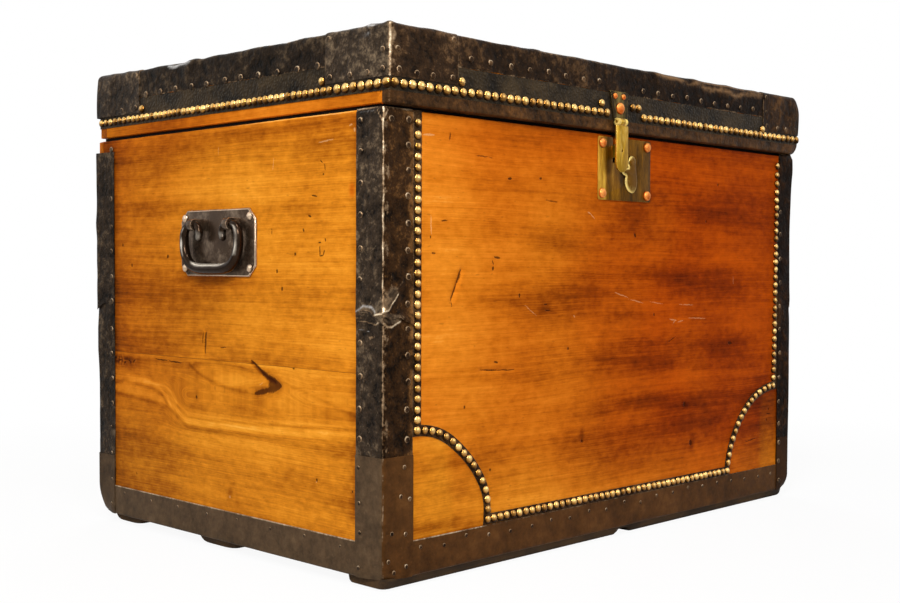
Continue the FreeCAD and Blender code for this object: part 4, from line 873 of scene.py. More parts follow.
def make_carcase_boards():
    lock_low, lock_high, slot_low, slot_high = -44.5, 46.5, -24.5, -15.5
    lock_foot, lock_top = 436.0, 501.0
    rooms = [(lock_low, lock_high, lock_foot, lock_top, 14.5),
             (slot_low, slot_high, 500.0, 513.0, 14.5)]
    rebate = [(12, 0), (12, 20), (20, 20)]
    us = sorted({*board_with_ends(CARCASE_X, 3.2), lock_low, lock_high, slot_low, slot_high})
    vs = sorted({*spaced(CARCASE_FOOT, CARCASE_TOP, 3.2, (CARCASE_TOP,)), lock_foot, lock_top})
    front = slab(CARCASE, us, vs, rebate, lambda u, v, d: (u, d - CARCASE_Y, v), front_relief,
                 front_fields, rooms, FRONT_GOUGES + FRONT_SCRATCHES)
    piece("front_board", numbered(front, 1), "carcase", "varnished_pine", ("front_panel",))
    for name, sign, relief, fields, step, marks in (
            ("left_side", -1, left_relief, left_fields, 2.3, LEFT_GOUGES + LEFT_SCRATCHES),
            ("right_side", 1, plain_relief, plain_fields(20), 12, ())):
        node = name + "_boards"
        low, seam, above, high = levels(node, 2)
        boards = [slab(CARCASE, spaced(-273, 273, step),
                       spaced(start, end, step, (start, end), 1.0, 2.0), [(20, 0)],
                       lambda u, v, d: (sign * (CARCASE_X - d), u, v), relief, fields, (), marks)
                  for start, end in ((low, seam), (above, high))]
        inner, outer = sorted((sign * 402, sign * 410))
        boards.append(tongue((inner, -270, seam - 3), (outer, 270, above + 3)))
        piece(name + "_wall", joined([numbered(b, 3 + i) for i, b in enumerate(boards)]),
              "carcase", "varnished_pine", (node,))
    low, seam, above, high = levels("back_panel", 2)
    boards = [slab(CARCASE, board_with_ends(CARCASE_X, 13),
                   spaced(start, end, 13, (start, end), 1.0, 2.0), rebate,
                   lambda u, v, d: (u, CARCASE_Y - d, v), plain_relief, plain_fields(30))
              for start, end in ((low, seam), (above, high))]
    boards.append(tongue((-390, 271, seam - 3), (390, 279, above + 3)))
    piece("back_wall", joined([numbered(b, 6 + i) for i, b in enumerate(boards)]), "carcase",
          "varnished_pine", ("back_panel",))


def make_lid_boards():
    along = (LID_LEFT, LID_RIGHT)
    for side, us, step, axis, level, inward in (
            ("front", spaced(*along, 14, along), 6, 1, LID_FRONT, 1),
            ("back", spaced(*along, 14, along), 6, 1, LID_BACK, -1),
            ("left", spaced(-274.5, 267, 5), 4, 0, LID_LEFT, 1),
            ("right", spaced(-274.5, 267, 12), 6, 0, LID_RIGHT, -1)):
        def place(u, v, d):
            return (u, level + inward * d, v) if axis else (level + inward * d, u, v)

        name = f"lid_{side}_rail"
        vs = spaced(LID_FOOT, LID_PLANKS, step, (LID_FOOT,))
        board = slab(LID, us, vs, [(18, 0)], place, plain_relief, plain_fields(len(name)))
        piece(name, numbered(board, len(name)), "lid", "varnished_pine", (f"lid_{side}_board",))
    seams = levels("lid_top_boards", 1)
    tops = [slab(LID, spaced(*along, 13, along), spaced(start, end, 9, (start, end), 1.0, 2.0),
                 [(LID_TOP - LID_PLANKS, 0)], lambda u, v, d: (u, v, LID_TOP - d), plain_relief,
                 plain_fields(40 + i))
            for i, (start, end) in enumerate(zip(seams[::2], seams[1::2]))]
    tops += [tongue((-400, a - 3, 588), (410, b + 3, 593))
             for a, b in zip(seams[1::2], seams[2::2])]
    piece("lid_top_planks", joined([numbered(b, 30 + i) for i, b in enumerate(tops)]), "lid",
          "varnished_pine", ("lid_top_boards",))


# ---------------------------------------------------------------- sheet iron
# Dents and swellings of the carcase's bindings: (x, y, z, radius, rise), mm.
CARCASE_KNOCKS = [
    (-400, -285, 300, 12, 1.6), (-384, -285, 306, 9, -0.7), (-416, -262, 318, 14, 1.5),
    (-416, -276, 330, 8, -0.7), (-409, -285, 281, 8, 1.2), (-416, -285, 309, 9, 1.4),
    (-396, -285, 330, 10, 0.8), (-416, -250, 296, 10, 0.9), (-405, -285, 440, 16, 0.7),
    (-416, -268, 420, 18, 0.8), (-416, -270, 180, 20, 0.7), (-395, -285, 215, 18, 0.6),
    (416, -285, 300, 14, 0.7), (416, -285, 180, 12, 0.7), (400, -285, 350, 12, 0.8),
    (-416, 285, 400, 12, 1.1), (-416, 285, 250, 14, 1.2), (-416, 285, 330, 9, -0.6),
    (-416, 262, 270, 10, 0.9),
]
REAR_SWELLING = [(235, 1.6), (275, 2.2), (320, 2.6), (365, 2.6), (410, 2.6), (455, 2.6), (500, 3.4)]
RIGHT_SWELLING = [(100, 1.5), (150, 1.5), (200, 1.5), (250, 1.4), (300, 1.1), (350, 0.8),
                  (400, 0.5), (450, 1.6), (500, 4.2)]
CARCASE_KNOCKS += [(-CARCASE_X, CARCASE_Y, z, 30, rise) for z, rise in REAR_SWELLING]
CARCASE_KNOCKS += [(CARCASE_X, -CARCASE_Y, z, 34, rise) for z, rise in RIGHT_SWELLING]
LID_KNOCKS = [
    (-414, 75, 592, 11, 1.9), (-414, 92, 598, 7, -0.7), (-414, 60, 598, 8, 1.6),
    (-414, 250, 590, 10, 1.3), (-414, -20, 586, 14, 1.2), (-414, -80, 590, 12, 1.0),
    (-414, 140, 598, 16, 1.0), (-414, -200, 598, 12, 0.9), (-414, -270, 590, 8, 1.1),
    (-350, -292.5, 598, 14, 1.0), (-250, -292.5, 598, 18, -0.6), (-180, -292.5, 598, 10, 1.2),
    (-100, -292.5, 594, 16, 0.9), (0, -292.5, 598, 14, -0.6), (60, -292.5, 592, 12, 1.4),
    (150, -292.5, 598, 12, 1.2), (230, -292.5, 594, 16, 1.3), (300, -292.5, 598, 12, 0.9),
    (400, -292.5, 575, 12, 1.0), (-414, -292.5, 599, 8, 2.2), (-414, -262, 599, 6, 1.6),
    (-414, 18, 599, 16, 1.1), (-414, -60, 599, 14, 1.0), (-414, -150, 599, 16, 1.0),
    (-414, 285, 556, 46, 3.6), (423.5, -292.5, 570, 26, 1.6), (-414, 215, 599, 8, 1.2),
    (-414, 85, 599, 7, -1.6), (-414, 48, 599, 6, -1.0), (-414, -205, 599, 6, -1.0),
    (-414, -118, 599, 5, -0.8),
]


def knock_lift(knocks, seed, gentle):
    def lift(points):
        rise = 0.3 * gentle * (ripple(points, 34, seed) + 0.7 * ripple(points, 13, seed + 1))
        for x, y, z, radius, height in knocks:
            away = ((points - (x, y, z)) ** 2).sum(1)
            rise = rise + height * np.exp(-away / radius ** 2)
        return np.maximum(rise, -0.7)
    return lift


carcase_lift = knock_lift(CARCASE_KNOCKS, 11, 1.0)
lid_lift = knock_lift(LID_KNOCKS, 15, 1.0)
calm_lift = knock_lift([], 19, 0.45)


def edge_wear(case, reach, amount, borders=()):
    """Rubbed bright along the upright arrises, in patches, and thinly along the named borders."""
    def worn(points):
        dx = np.minimum(points[:, 0] - case.low[0], case.high[0] - points[:, 0])
        dy = np.minimum(points[:, 1] - case.low[1], case.high[1] - points[:, 1])
        near = np.clip(1 - np.hypot(dx, dy) / reach, 0, 1)
        wear = amount * near ** 0.7 * (0.75 + 0.45 * ripple(points * (1, 1, 0.5), 16, 23))
        for axis, value, width, level in borders:
            close = np.clip(1 - np.abs(points[:, axis] - value) / width, 0, 1)
            wear = np.maximum(wear, level * close * (0.7 + 0.5 * ripple(points, 22, 29)))
        return np.clip(wear, 0, 1)
    return worn


def corner_skin(sx, sy, rows, side_reach, front_reach, column=4.0):
    """Both faces of an upright corner."""
    x, y = CARCASE_X * sx, CARCASE_Y * sy
    skin = Skin()
    skin.patch((x, y, 0), (0, -sy, 0), (0, 0, 1), spaced(0, side_reach, column, (0,)), rows)
    skin.patch((x, y, 0), (-sx, 0, 0), (0, 0, 1), spaced(0, front_reach, column, (0,)), rows)
    return skin


# Each corner's side in x and in y, the reach of its sheets on both faces, the tops of its cap and
# of its binding, and how dark it is; the front right's darkness is painted shade.
CORNERS = {"front_left": (-1, -1, 41, 43.5, 143, CARCASE_TOP, 0.0),
           "front_right": (1, -1, 41, 33.5, 90, CARCASE_TOP, 0.95),
           "back_left": (-1, 1, 41, 41, 90, 496, 0.34),
           "back_right": (1, 1, 41, 41, 90, CARCASE_TOP, 0.0)}

# Folds of the crumpled sheets at the near corner: run (distance round the arris, height), rise and
# brightness. The distance is negative on the side and positive on the front.
FOLDS = [
    ([(19, 316), (14, 310), (8, 305), (5, 299), (-1, 296), (-8, 293)], 2.4, 1.0),
    ([(27, 329), (17, 320)], 0.9, 0.45), ([(10.5, 338), (11.5, 320)], 0.8, 0.42),
    ([(-7, 285), (-2, 287), (3, 284)], 0.8, 0.8),
    ([(4, 281.5), (12, 281), (18, 284), (25, 287)], 2.2, 1.0),
    ([(17, 296), (25, 292), (32, 288), (43, 284)], 1.2, 0.4),
    ([(-40, 293), (-33, 297), (-27, 299), (-17, 297), (-9, 291)], 2.0, 0.5),
    ([(3, 280), (7, 272), (9, 262)], 0.8, 0.4), ([(-38, 287), (-24, 286), (-9, 283)], 0.7, 0.6),
    ([(-19, 270), (-10, 271)], 0.6, 0.5), ([(-7, 508), (-3.5, 503), (-0.5, 497)], 0.6, 0.8),
    ([(5, 508), (2.5, 503), (0, 497)], 0.6, 0.8), ([(0.5, 478), (3, 472), (2, 462)], 0.5, 0.5),
    ([(6, 474), (7, 450), (5, 430)], 0.4, 0.3), ([(14, 452), (30, 453)], 0.3, 0.25),
]
# Torn flaps of the same sheets and the sheen beside them.
FLAPS = [([(13, 318), (6, 309), (-1, 302), (-4, 298)], 7.0),
         ([(-2, 290), (9, 290), (19, 288)], 5.6)]
SHEEN = [(-40, 296), (-28, 303), (-15, 302), (-8, 296)]


def round_corner(points, case=CARCASE):
    """Distance round the near arris and height; far from that corner the distance is huge."""
    x, y = case.low[:2]
    side = np.abs(points[:, 0] - x) < 0.01
    front = np.abs(points[:, 1] - y) < 0.01
    around = np.where(front, points[:, 0] - x, np.where(side, y - points[:, 1], 999.0))
    return around, points[:, 2]


def folded(points, column, width):
    """The rise (column 1) or the brightness (column 2) that the folds give."""
    around, height = round_corner(points)
    return np.max([fold[column] * along_line(around, height, fold[0], width)
                   for fold in FOLDS], axis=0)


def flapped(points):
    around, height = round_corner(points)
    return np.max([ramp01(along_line(around, height, route, width), 0.3, 0.6)
                   for route, width in FLAPS], axis=0)


def upper_sheet_lift(points):
    """The upper sheet turns up where it laps over the lower one."""
    around, _ = round_corner(points)
    lap = 1.7 * np.exp(-((points[:, 2] - LAP - 2) / 4.5) ** 2) + folded(points, 1, 3.0)
    return carcase_lift(points) + (lap + 0.9 * flapped(points)) * ramp01(around, -42, -26)


def lower_sheet_lift(points):
    away = np.clip(np.abs(points[:, 2] - LAP - 2), 0, 30)
    return np.minimum(carcase_lift(points), 0.5 + away * 0.05)


def lap_bend(points):
    """The lap runs uneven round the corner: up in a tongue on the side and down on the front."""
    bent = points.copy()
    near = np.clip(1 - (points[:, 2] - LAP) / 10, 0, 1)
    front = np.interp(np.abs(points[:, 0]), [373, 395, 409, 416], [-6, 3, 1, 5])
    side = np.interp(np.abs(points[:, 1]), [244, 257, 268, 285], [2, 8, 6, -3])
    bent[:, 2] += near * np.where(np.abs(points[:, 0]) > CARCASE_X - 0.1, side, front)
    return bent


def near_arris(points, case, heights, levels):
    """The near arris: a thin wavering bright line with a dull rubbed band on its front side."""
    around, height = round_corner(points, case)
    up = np.c_[height, 0 * height, 0 * height]
    drift = 0.9 * ripple(up, 19, 41) + 0.6 * ripple(up, 7, 42)
    width = 1.25 + 0.9 * ramp01(height, 430, 560) + 0.5 * ripple(up, 14, 45)
    line = np.exp(-((around - 0.6 - drift) / width) ** 2) * np.interp(height, heights, levels)
    line *= 0.78 + 0.6 * ripple(up, 9, 43)
    band = 0.36 * ramp01(around, -2.5, 0.0) * ramp01(around, 11.0, 5.0)
    band *= 0.75 + 0.8 * ripple(up + around[:, None], 9, 44)
    return np.clip(np.maximum(line, band * (height > 150)), 0, 1)


def corner_tints(near, soot):
    def tints(points):
        tone = {"soot": np.full(len(points), soot),
                "rust": np.where(points[:, 1] < CARCASE.low[1] + 0.01, 1.0, 0.15)}
        if near:
            around, height = round_corner(points)
            flap = flapped(points)
            tone["rust"] = tone["rust"] * (1 - 0.72 * flap)
            # Scuffs on the flaps and along the edge strip, and a painted sheen along SHEEN.
            tone["scuff"] = (0.42 * flap + 0.4 * along_line(around, height, SHEEN, 3.2)
                             + 0.42 * ramp01(around, 33, 41))
            # Painted glints along SHEEN, along the top of the side and under the lap.
            tone["glint"] = traces(around, height, (0.62, SHEEN, 2.0),
                                   (0.35, [(-36, 508), (-12, 509)], 1.6),
                                   (0.5, [(-37, 278), (-20, 276)], 0.9))
        return tone
    return tints


# Rubbing of the near arris: heights, and how bright the line is there on the sheets and the cap.
ARRIS_HEIGHTS = [12, 50, 150, 160, 284, 300, 420, 512]
ARRIS_LEVELS = [0.3, 0.4, 0.5, 0.55, 0.6, 0.8, 0.9, 1.0]
CAP_HEIGHTS, CAP_LEVELS = [12, 40, 60, 140], [0.75, 0.4, 0.75, 0.6]


def make_corner_bindings():
    for name, (sx, sy, side, front, cap_top, top, soot) in CORNERS.items():
        near = name == "front_left"
        rub = edge_wear(CARCASE, 2.7, 1.0, [
            (1, sy * (CARCASE_Y - side), 1.6, 0.34), (0, sx * (CARCASE_X - front), 1.6, 0.4),
            (2, top, 1.8, 0.75), (2, LAP + 2, 2.0, 0.4)])

        def wear(points):
            if not near:
                return rub(points) * 0.6
            line = near_arris(points, CARCASE, ARRIS_HEIGHTS, ARRIS_LEVELS)
            rubbed = np.maximum(line, folded(points, 2, 1.3) * 0.9)
            return np.maximum(rubbed, rub(points) * (np.abs(round_corner(points)[0]) > 8))

        def cap_wear(points):
            if near:
                return 0.75 * near_arris(points, CARCASE, CAP_HEIGHTS, CAP_LEVELS)
            return edge_wear(CARCASE, 2.7, 0.3, [(2, cap_top, 1.2, 0.2)])(points)

        def cap_lift(points):
            return 0.3 * calm_lift(points) + np.minimum(carcase_lift(points), 0.4) * 0.5

        upper_rows, lower_rows, column = spaced(LAP, top, 5), spaced(50.2, 300, 5), 4.0
        if near:
            upper_rows = spaced(LAP, top, 3.4, (303,), 1.5, 19)
            lower_rows, column = spaced(50.2, 300, 5, (285,), 1.5, 16), 1.8
        tints = corner_tints(near, soot)
        upper = shell(corner_skin(sx, sy, upper_rows, side, front, column), CARCASE, 1.0, 0.0,
                      upper_sheet_lift if near else carcase_lift, wear, lap_bend, tints)
        lower = shell(corner_skin(sx, sy, lower_rows, side, front, column), CARCASE, 0.9, 0.0,
                      lower_sheet_lift, wear, None, tints)
        piece("binding_" + name, joined([upper, lower]), "carcase", "sheet_iron",
              ("corner_binding_" + name,))
        cap = shell(corner_skin(sx, sy, spaced(12.6, cap_top, 4), side, front), CARCASE, 1.0, 1.0,
                    cap_lift, cap_wear, None, corner_tints(False, soot * 0.8))
        piece("foot_cap_" + name, cap, "carcase", "smooth_iron", ("corner_cap_" + name,))


def sagging(points):
    """The front band hangs a little lower towards its right end."""
    bent = points.copy()
    low = (points[:, 2] < 20) & (points[:, 1] < 0.1 - CARCASE_Y)
    sag = 5.5 * ramp01(points[:, 0], -150, 420) + 0.5 * ripple(points * (1, 0, 0), 20, 51)
    bent[:, 2] -= low * sag
    return bent


def bands(case, long_xs, long_ys, rise, fold, level):
    """The four upright bands of a case, each with its fold at the given level."""
    for name, axis, sign in (("front", 1, -1), ("back", 1, 1), ("left", 0, -1), ("right", 0, 1)):
        start, across, inward = np.zeros((3, 3))
        start[axis] = (case.high if sign > 0 else case.low)[axis]
        across[1 - axis], inward[axis] = 1, -sign
        runs = long_xs if axis else long_ys
        skin = Skin().patch(start, across, (0, 0, 1), runs, rise)
        yield name, skin.patch(start + (0, 0, level), across, inward, runs, fold)


def make_bottom_bindings():
    rubs = edge_wear(CARCASE, 3.6, 0.3, [(2, CARCASE_FOOT, 1.6, 0.4)])

    def wear(points):
        dull = (points[:, 1] < 0.1 - CARCASE_Y) & (points[:, 0] > -258)
        top_edge = np.where(dull, 0.3, 0.62) * (np.abs(points[:, 2] - 50) < 1.0)
        return np.maximum(rubs(points), top_edge)

    for name, skin in bands(CARCASE, board_with_ends(CARCASE_X, 9),
                            spaced(0.1 - CARCASE_Y, CARCASE_Y - 0.1, 8),
                            spaced(CARCASE_FOOT, 50, 4, (CARCASE_FOOT, 50), 0.8, 2.4),
                            spaced(0, 18, 4.5, (0,)), CARCASE_FOOT):
        form = shell(skin, CARCASE, 1.0, 0.0, calm_lift, wear, sagging)
        piece("foot_band_" + name, form, "carcase", "smooth_iron", ("bottom_binding_" + name,))


def ragged(points):
    """The bands' lower edges run slightly uneven."""
    bent = points.copy()
    near = np.clip(1 - (points[:, 2] - 563) / 8, 0, 1)
    waves = np.sin((points[:, 0] + points[:, 1]) * 0.16) * 0.5
    bent[:, 2] += near * 0.9 * (ripple(points * (1, 1, 0), 30, 31) + waves)
    return bent


# Torn, shining places of the lid's left sheets: route, half width and brightness.
LID_GLINTS = [
    ([(119, 598), (104, 594), (92, 597), (70, 596)], 3.0, 0.8),
    ([(216, 597), (213, 592)], 3.0, 0.65),
    ([(15, 593.2), (-33, 592.6), (-81, 591.7), (-127, 592)], 0.9, 0.6),
    ([(-254, 588), (-266, 590)], 3.4, 0.42), ([(-262, 598), (-272, 598)], 2.6, 0.95),
    ([(-30, 599), (-75, 599)], 1.2, 0.5), ([(-150, 594), (-170, 592)], 2.0, 0.3),
    ([(240, 580), (268, 584)], 3.0, 0.25), ([(-222, 585), (-232, 575)], 2.0, 0.22),
]
# Rubbed places of the lid's front sheets: route, half width and brightness.
LID_RUBS = [
    ([(-184, 597), (-120, 598), (-52, 597)], 2.6, 0.36), ([(-8, 597), (40, 596)], 1.4, 0.3),
    ([(-150, 588), (-128, 590)], 2.2, 0.22), ([(-292, 566), (-180, 565), (-60, 564)], 0.7, 0.4),
]
# Peeling lacquer on the lid's front: run and half width.
PEELED = [([(60, 597), (112, 595), (135, 590), (150, 594), (186, 588), (215, 592), (250, 586),
            (275, 592), (336, 593)], 3.4),
          ([(150, 597), (330, 597.5)], 1.8), ([(345, 590), (396, 594)], 2.2)]


def brightest(u, v, *rows):
    """The brightest of several soft lines: route, half width and amount of each."""
    return np.max([amount * along_line(u, v, route, width)
                   for route, width, amount in rows], axis=0)


def with_rubs(base):
    def worn(points):
        front = np.abs(points[:, 1] - LID_FRONT) < 0.01
        return np.maximum(base(points), front * brightest(points[:, 0], points[:, 2], *LID_RUBS))
    return worn


def lid_tints(points):
    x, y, z = points.T
    front = y < LID.low[1] + 0.01
    side = (x < LID.low[0] + 0.01) & ~front
    peeled = brightest(x, z, *((route, width, 1.0) for route, width in PEELED))
    capped = (y < -191) | (y > 184)
    # The front is darker beyond the cap and, as painted shade, darker towards the right.
    darkened = 0.16 + 0.4 * ramp01(x, -330, -290) + 0.4 * ramp01(x, -150, 250)
    soot = np.where(front, darkened * (1 - 0.8 * peeled), np.where(capped, 0.02, 0.66))
    return {"rust": np.where(front, 0.7, 0.1), "soot": soot,
            "scuff": 0.9 * front * peeled + 0.08 * (~front & capped),
            "glint": brightest(y, z, *LID_GLINTS) * side}


def make_lid_metal():
    long_xs = spaced(LID_LEFT, LID_RIGHT, 6, (LID_LEFT, LID_RIGHT))
    long_ys = spaced(LID_FRONT, LID_BACK, 6, (LID_FRONT, LID_BACK))
    rim_wear = with_rubs(edge_wear(LID, 4.0, 0.4, [(2, BAND_FOOT, 1.1, 0.42),
                                                   (2, LID_TOP, 2.2, 0.34)]))
    for name, skin in bands(LID, long_xs, spaced(-267.5, 260, 6),
                            spaced(BAND_FOOT, LID_TOP, 4, (LID_TOP,)), spaced(0, 25, 5, (0,)),
                            LID_TOP):
        form = shell(skin, LID, 1.0, 0.0, lid_lift, rim_wear, ragged, lid_tints)
        piece("rim_band_" + name, form, "lid", "sheet_iron", ("lid_band_" + name,))
    strip_rows = spaced(STRIP_FOOT, 563, 5)
    strip = Skin().patch((0, LID_FRONT, 0), (1, 0, 0), (0, 0, 1), long_xs, strip_rows)
    for x in (LID_LEFT, LID_RIGHT):
        strip.patch((x, 0, 0), (0, 1, 0), (0, 0, 1), long_ys, strip_rows)
    piece("lid_nail_strip", shell(strip, LID, 0.9, 0.0, calm_lift), "lid", "pebbled_iron",
          ("lid_lower_strips",))
    rim_rows = spaced(LID_FOOT, 528.8, 3.2, (LID_FOOT,))
    rim = Skin().patch((0, LID_FRONT, 0), (1, 0, 0), (0, 0, 1), long_xs, rim_rows)
    rim.patch((LID_LEFT, LID_FRONT, 0), (0, 1, 0), (0, 0, 1), spaced(0, 10, 3, (0,)), rim_rows)
    rim.patch((0, LID_FRONT, LID_FOOT), (1, 0, 0), (0, 1, 0), long_xs, spaced(0, 9, 3, (0,)))

    def dull(points):
        # The rim darkens towards the right as painted shade.
        return {"rust": np.full(len(points), 0.6), "soot": 0.15 * ramp01(points[:, 0], -100, 300)}

    piece("lid_front_rim", shell(rim, LID, 0.9, 0.0, calm_lift, edge_wear(LID, 4, 0.4), None, dull),
          "lid", "dark_rim", ("lid_front_rim_strip",))
    make_lid_caps()


def make_lid_caps():
    """The sheets over the lid's corners, which lap over the bands."""
    reach, foot = 101, 543.6
    along, up = spaced(0, reach, 6, (0, reach)), spaced(foot, LID_TOP, 4, (LID_TOP,))
    for name, sx, sy in (("front_left", -1, -1), ("front_right", 1, -1), ("back_left", -1, 1),
                         ("back_right", 1, 1)):
        x, y = LID_RIGHT if sx > 0 else LID_LEFT, LID_BACK if sy > 0 else LID_FRONT
        skin = Skin().patch((x, y, 0), (-sx, 0, 0), (0, 0, 1), along, up)
        skin.patch((x, y, 0), (0, -sy, 0), (0, 0, 1), along, up)
        skin.patch((x, y, LID_TOP), (-sx, 0, 0), (0, -sy, 0), along, along)
        near = name == "front_left"
        rubs = edge_wear(LID, 3.8, 0.0 if near else 0.4, [
            (0, x - sx * reach, 1.3, 0.5), (1, y - sy * reach, 1.3, 0.5), (2, LID_TOP, 2.4, 0.3)])

        def wear(points):
            line = near_arris(points, LID, [543, 600], [0.9, 1.0]) if near else 0.0
            return np.maximum(rubs(points), line)

        # The front right cap is darkened as painted shade.
        def darkened(points):
            return {"soot": np.full(len(points), 0.45)}

        tints = {"front_left": lid_tints, "front_right": darkened}.get(name)
        piece("rim_cap_" + name, shell(skin, LID, 1.0, 1.0, lid_lift, wear, None, tints), "lid",
              "sheet_iron", ("lid_cap_" + name,))


# ---------------------------------------------------------------- heads of nails, tacks and rivets
# Profiles: share of the radius, share of the rise and brightness of each ring.
ROUND = [(1.0, 0.0, -0.55), (0.96, 0.3, -0.3), (0.83, 0.58, -0.05), (0.6, 0.82, 0.12),
         (0.32, 0.95, 0.2), (0.0, 1.0, 0.25)]
TACK = [(1.0, 0.0, 0.12), (0.95, 0.45, 0.46), (0.78, 0.8, 0.42), (0.52, 0.75, 0.08),
        (0.0, 0.7, 0.0)]
DISHED = [(1.0, 0.0, -0.35), (0.95, 0.5, 0.1), (0.8, 0.85, 0.3), (0.45, 1.0, 0.1), (0.0, 0.98, 0.0)]


def heads(places, profile, sides, field, underside=0.0):
    """Turned heads. A place is its centre, the way it faces, its radius, its rise and its tone."""
    points, faces, values = [], [], []
    for centre, facing, radius, rise, tone in places:
        normal = Vector(facing).normalized()
        first = normal.cross((0, 0, 1)).normalized()
        second = normal.cross(first)
        start = len(points)
        for share, height, value in profile[:-1]:
            for k in range(sides):
                turn = 2 * math.pi * k / sides
                out = first * math.cos(turn) + second * math.sin(turn)
                points.append(Vector(centre) + out * (radius * share) + normal * (rise * height))
                # Painted light: brighter on the upper side of each head, darker underneath.
                values.append(value + tone + underside * share * out.z)
        points.append(Vector(centre) + normal * (rise * profile[-1][1]))
        values.append(profile[-1][2] + tone)
        rings = len(profile) - 1
        for r in range(rings - 1):
            for k in range(sides):
                a, b = start + r * sides + k, start + r * sides + (k + 1) % sides
                faces.append((a, b, b + sides, a + sides))
        last = start + (rings - 1) * sides
        faces += [(last + k, last + (k + 1) % sides, start + rings * sides) for k in range(sides)]
        faces.append(tuple(start + k for k in reversed(range(sides))))
    return Form(points, faces, **{field: np.array(values)})


def head_places(node):
    """Centre, facing and size of every separate head in a node, in millimetres."""
    shape = bmesh.new()
    shape.from_mesh(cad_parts[node].data)
    bmesh.ops.remove_doubles(shape, verts=shape.verts, dist=1e-6)
    seen, found = set(), []
    for vert in shape.verts:
        if vert in seen:
            continue
        island, queue = [], [vert]
        seen.add(vert)
        while queue:
            this = queue.pop()
            island.append(this.co / MM)
            for edge in this.link_edges:
                other = edge.other_vert(this)
                if other not in seen:
                    seen.add(other)
                    queue.append(other)
        low = [min(p[i] for p in island) for i in range(3)]
        high = [max(p[i] for p in island) for i in range(3)]
        axis = min((0, 1), key=lambda i: high[i] - low[i])
        sign = 1 if low[axis] + high[axis] > 0 else -1
        apex = max(island, key=lambda p: sign * p[axis])
        base = low[axis] if sign > 0 else high[axis]
        tops = [p for p in island if abs(p[axis] - apex[axis]) < 0.02]
        centre = [sum(p[i] for p in tops) / len(tops) for i in range(3)]
        centre[axis] = base
        facing = [0.0, 0.0, 0.0]
        facing[axis] = float(sign)
        found.append((centre, facing, (high[2] - low[2]) / 2, high[axis] - low[axis]))
    shape.free()
    return found


def side_row():
    """The nail on the near corner and the crowded row on the lid's left side."""
    places = [([-414.6, -289.2, 536.5], [-0.97, -0.24, 0.0], 5.6, 3.4)]
    y = -276.4
    while y < 279:
        places.append(([-414.9, y, 536.5], [-1.0, 0.0, 0.0], 5.3, 3.4))
        y += 13.0 if y < -205 else 10.4 if y < 184 else 11.3
    return places


def settled(x, z):
    """The arcs and the row between them as they hang, and the right column close to its binding."""
    share = 1 - ramp01(z, 62, 175)
    along = share * np.interp(x, [-258, 256], [3, -8]) + 3.6 * blob(x, z, (-264, 88), (14, 26))
    along = along + ramp01(x, 315, 360) * np.interp(z, [135, 170, 250, 495], [0, 7, 9.2, 12.3])
    drop = share * (3.4 + 1.2 * ramp01(x, -250, 250)) + 3.2 * blob(x, z, (-300, 140), (34, 26))
    return x + along, z - drop


def settled_spot(x, z):
    x, z = settled(np.array([x]), np.array([z]))
    return float(x[0]), float(z[0])


def column_places(spots):
    """The two upright columns with their wider spacing at the top; the other heads settled."""
    def in_column(spot, sign):
        return sign * spot[0][0] > 360 and spot[0][2] > (160 if sign > 0 else 165)

    kept = []
    for sign, first, tops in ((-1, 473.2, [499.2, 485.7]),
                              (1, 444.6, [495.8, 481.8, 468.6, 456.3])):
        line = [spot for spot in spots if in_column(spot, sign)]
        low = min(spot[0][2] for spot in line)
        count = int(round((first - low) / 11.35))
        heights = tops + [first + (low - first) * i / count for i in range(count + 1)]
        (x, y, _), facing, half, rise = line[0]
        for z in heights:
            size = half * (1.12 if z > 480 else 1.0)
            kept.append(([settled_spot(x - 0.2, z)[0], y, z], facing, size, rise))
    for spot in spots:
        if not (in_column(spot, -1) or in_column(spot, 1)):
            (x, y, z), *rest = spot
            x, z = settled_spot(x, z)
            kept.append(([x, y, z], *rest))
    return kept


def left_off(spot):
    """Heads of the lid's left side, which has its own row, and the two beside the hasp."""
    (x, _, z), facing = spot[:2]
    return z < 541 and (facing[0] < 0 or (facing[1] < 0 and -5 < x < 22))


def make_nails():
    dice = random.Random(5)
    for node, name, body, wide in (("front_nails", "front_nail_heads", "carcase", 5.1),
                                   ("lid_nails", "lid_nail_heads", "lid", 5.8)):
        spots = sorted(head_places(node))
        if body == "lid":
            spots = [spot for spot in spots if not left_off(spot)] + side_row()
            for spot in spots:
                if spot[0][0] > 250 and spot[0][1] < -290 and spot[0][2] > 541:
                    spot[0][0] += 4
                    spot[0][2] -= 2.4
        else:
            spots = column_places(spots)
        places = []
        for centre, facing, half, rise in spots:
            crowded = facing[0] < 0 and centre[1] > -210
            larger = 1.12 if body == "carcase" and half > 5.2 else 1.0
            radius = (5.25 if crowded else wide) * dice.uniform(0.95, 1.05) * larger
            lean = Vector(facing) + Vector([dice.uniform(-0.13, 0.13) for _ in range(3)])
            stray = Vector([dice.uniform(-0.3, 0.3) * (1 - abs(f)) for f in facing])
            tone = dice.uniform(-0.18, 0.16)
            places.append((Vector(centre) + stray, lean, radius, rise * 1.1, tone))
        # The nails carry a painted light, brighter on top and darker underneath.
        piece(name, heads(places, ROUND, 14, "bright", 0.52), body, "brass_nail", (node,),
              ROUND_CREASE)


def grid_tacks(face, facing, places, radius=3.8):
    """Tacks on a face, given as its axis and place; each place runs along it and up."""
    axis, level = face
    return [((level, a, b) if axis == 0 else (a, level, b), facing, radius, radius * 0.42, 0.0)
            for a, b in places]


def column(position, low, high, pitch, dice, sway=1.2):
    count = max(2, int(round((high - low) / pitch)) + 1)
    return [(position + dice.uniform(-sway, sway),
             low + (high - low) * i / (count - 1) + dice.uniform(-2, 2)) for i in range(count)]


def row(height, low, high, pitch, dice, sway=0.8):
    return [(a, b) for b, a in column(height, low, high, pitch, dice, sway)]


def browned(form):
    form.fields["rust"] = np.where(form.points[:, 0] < -413, 0.15, 0.7)
    return form


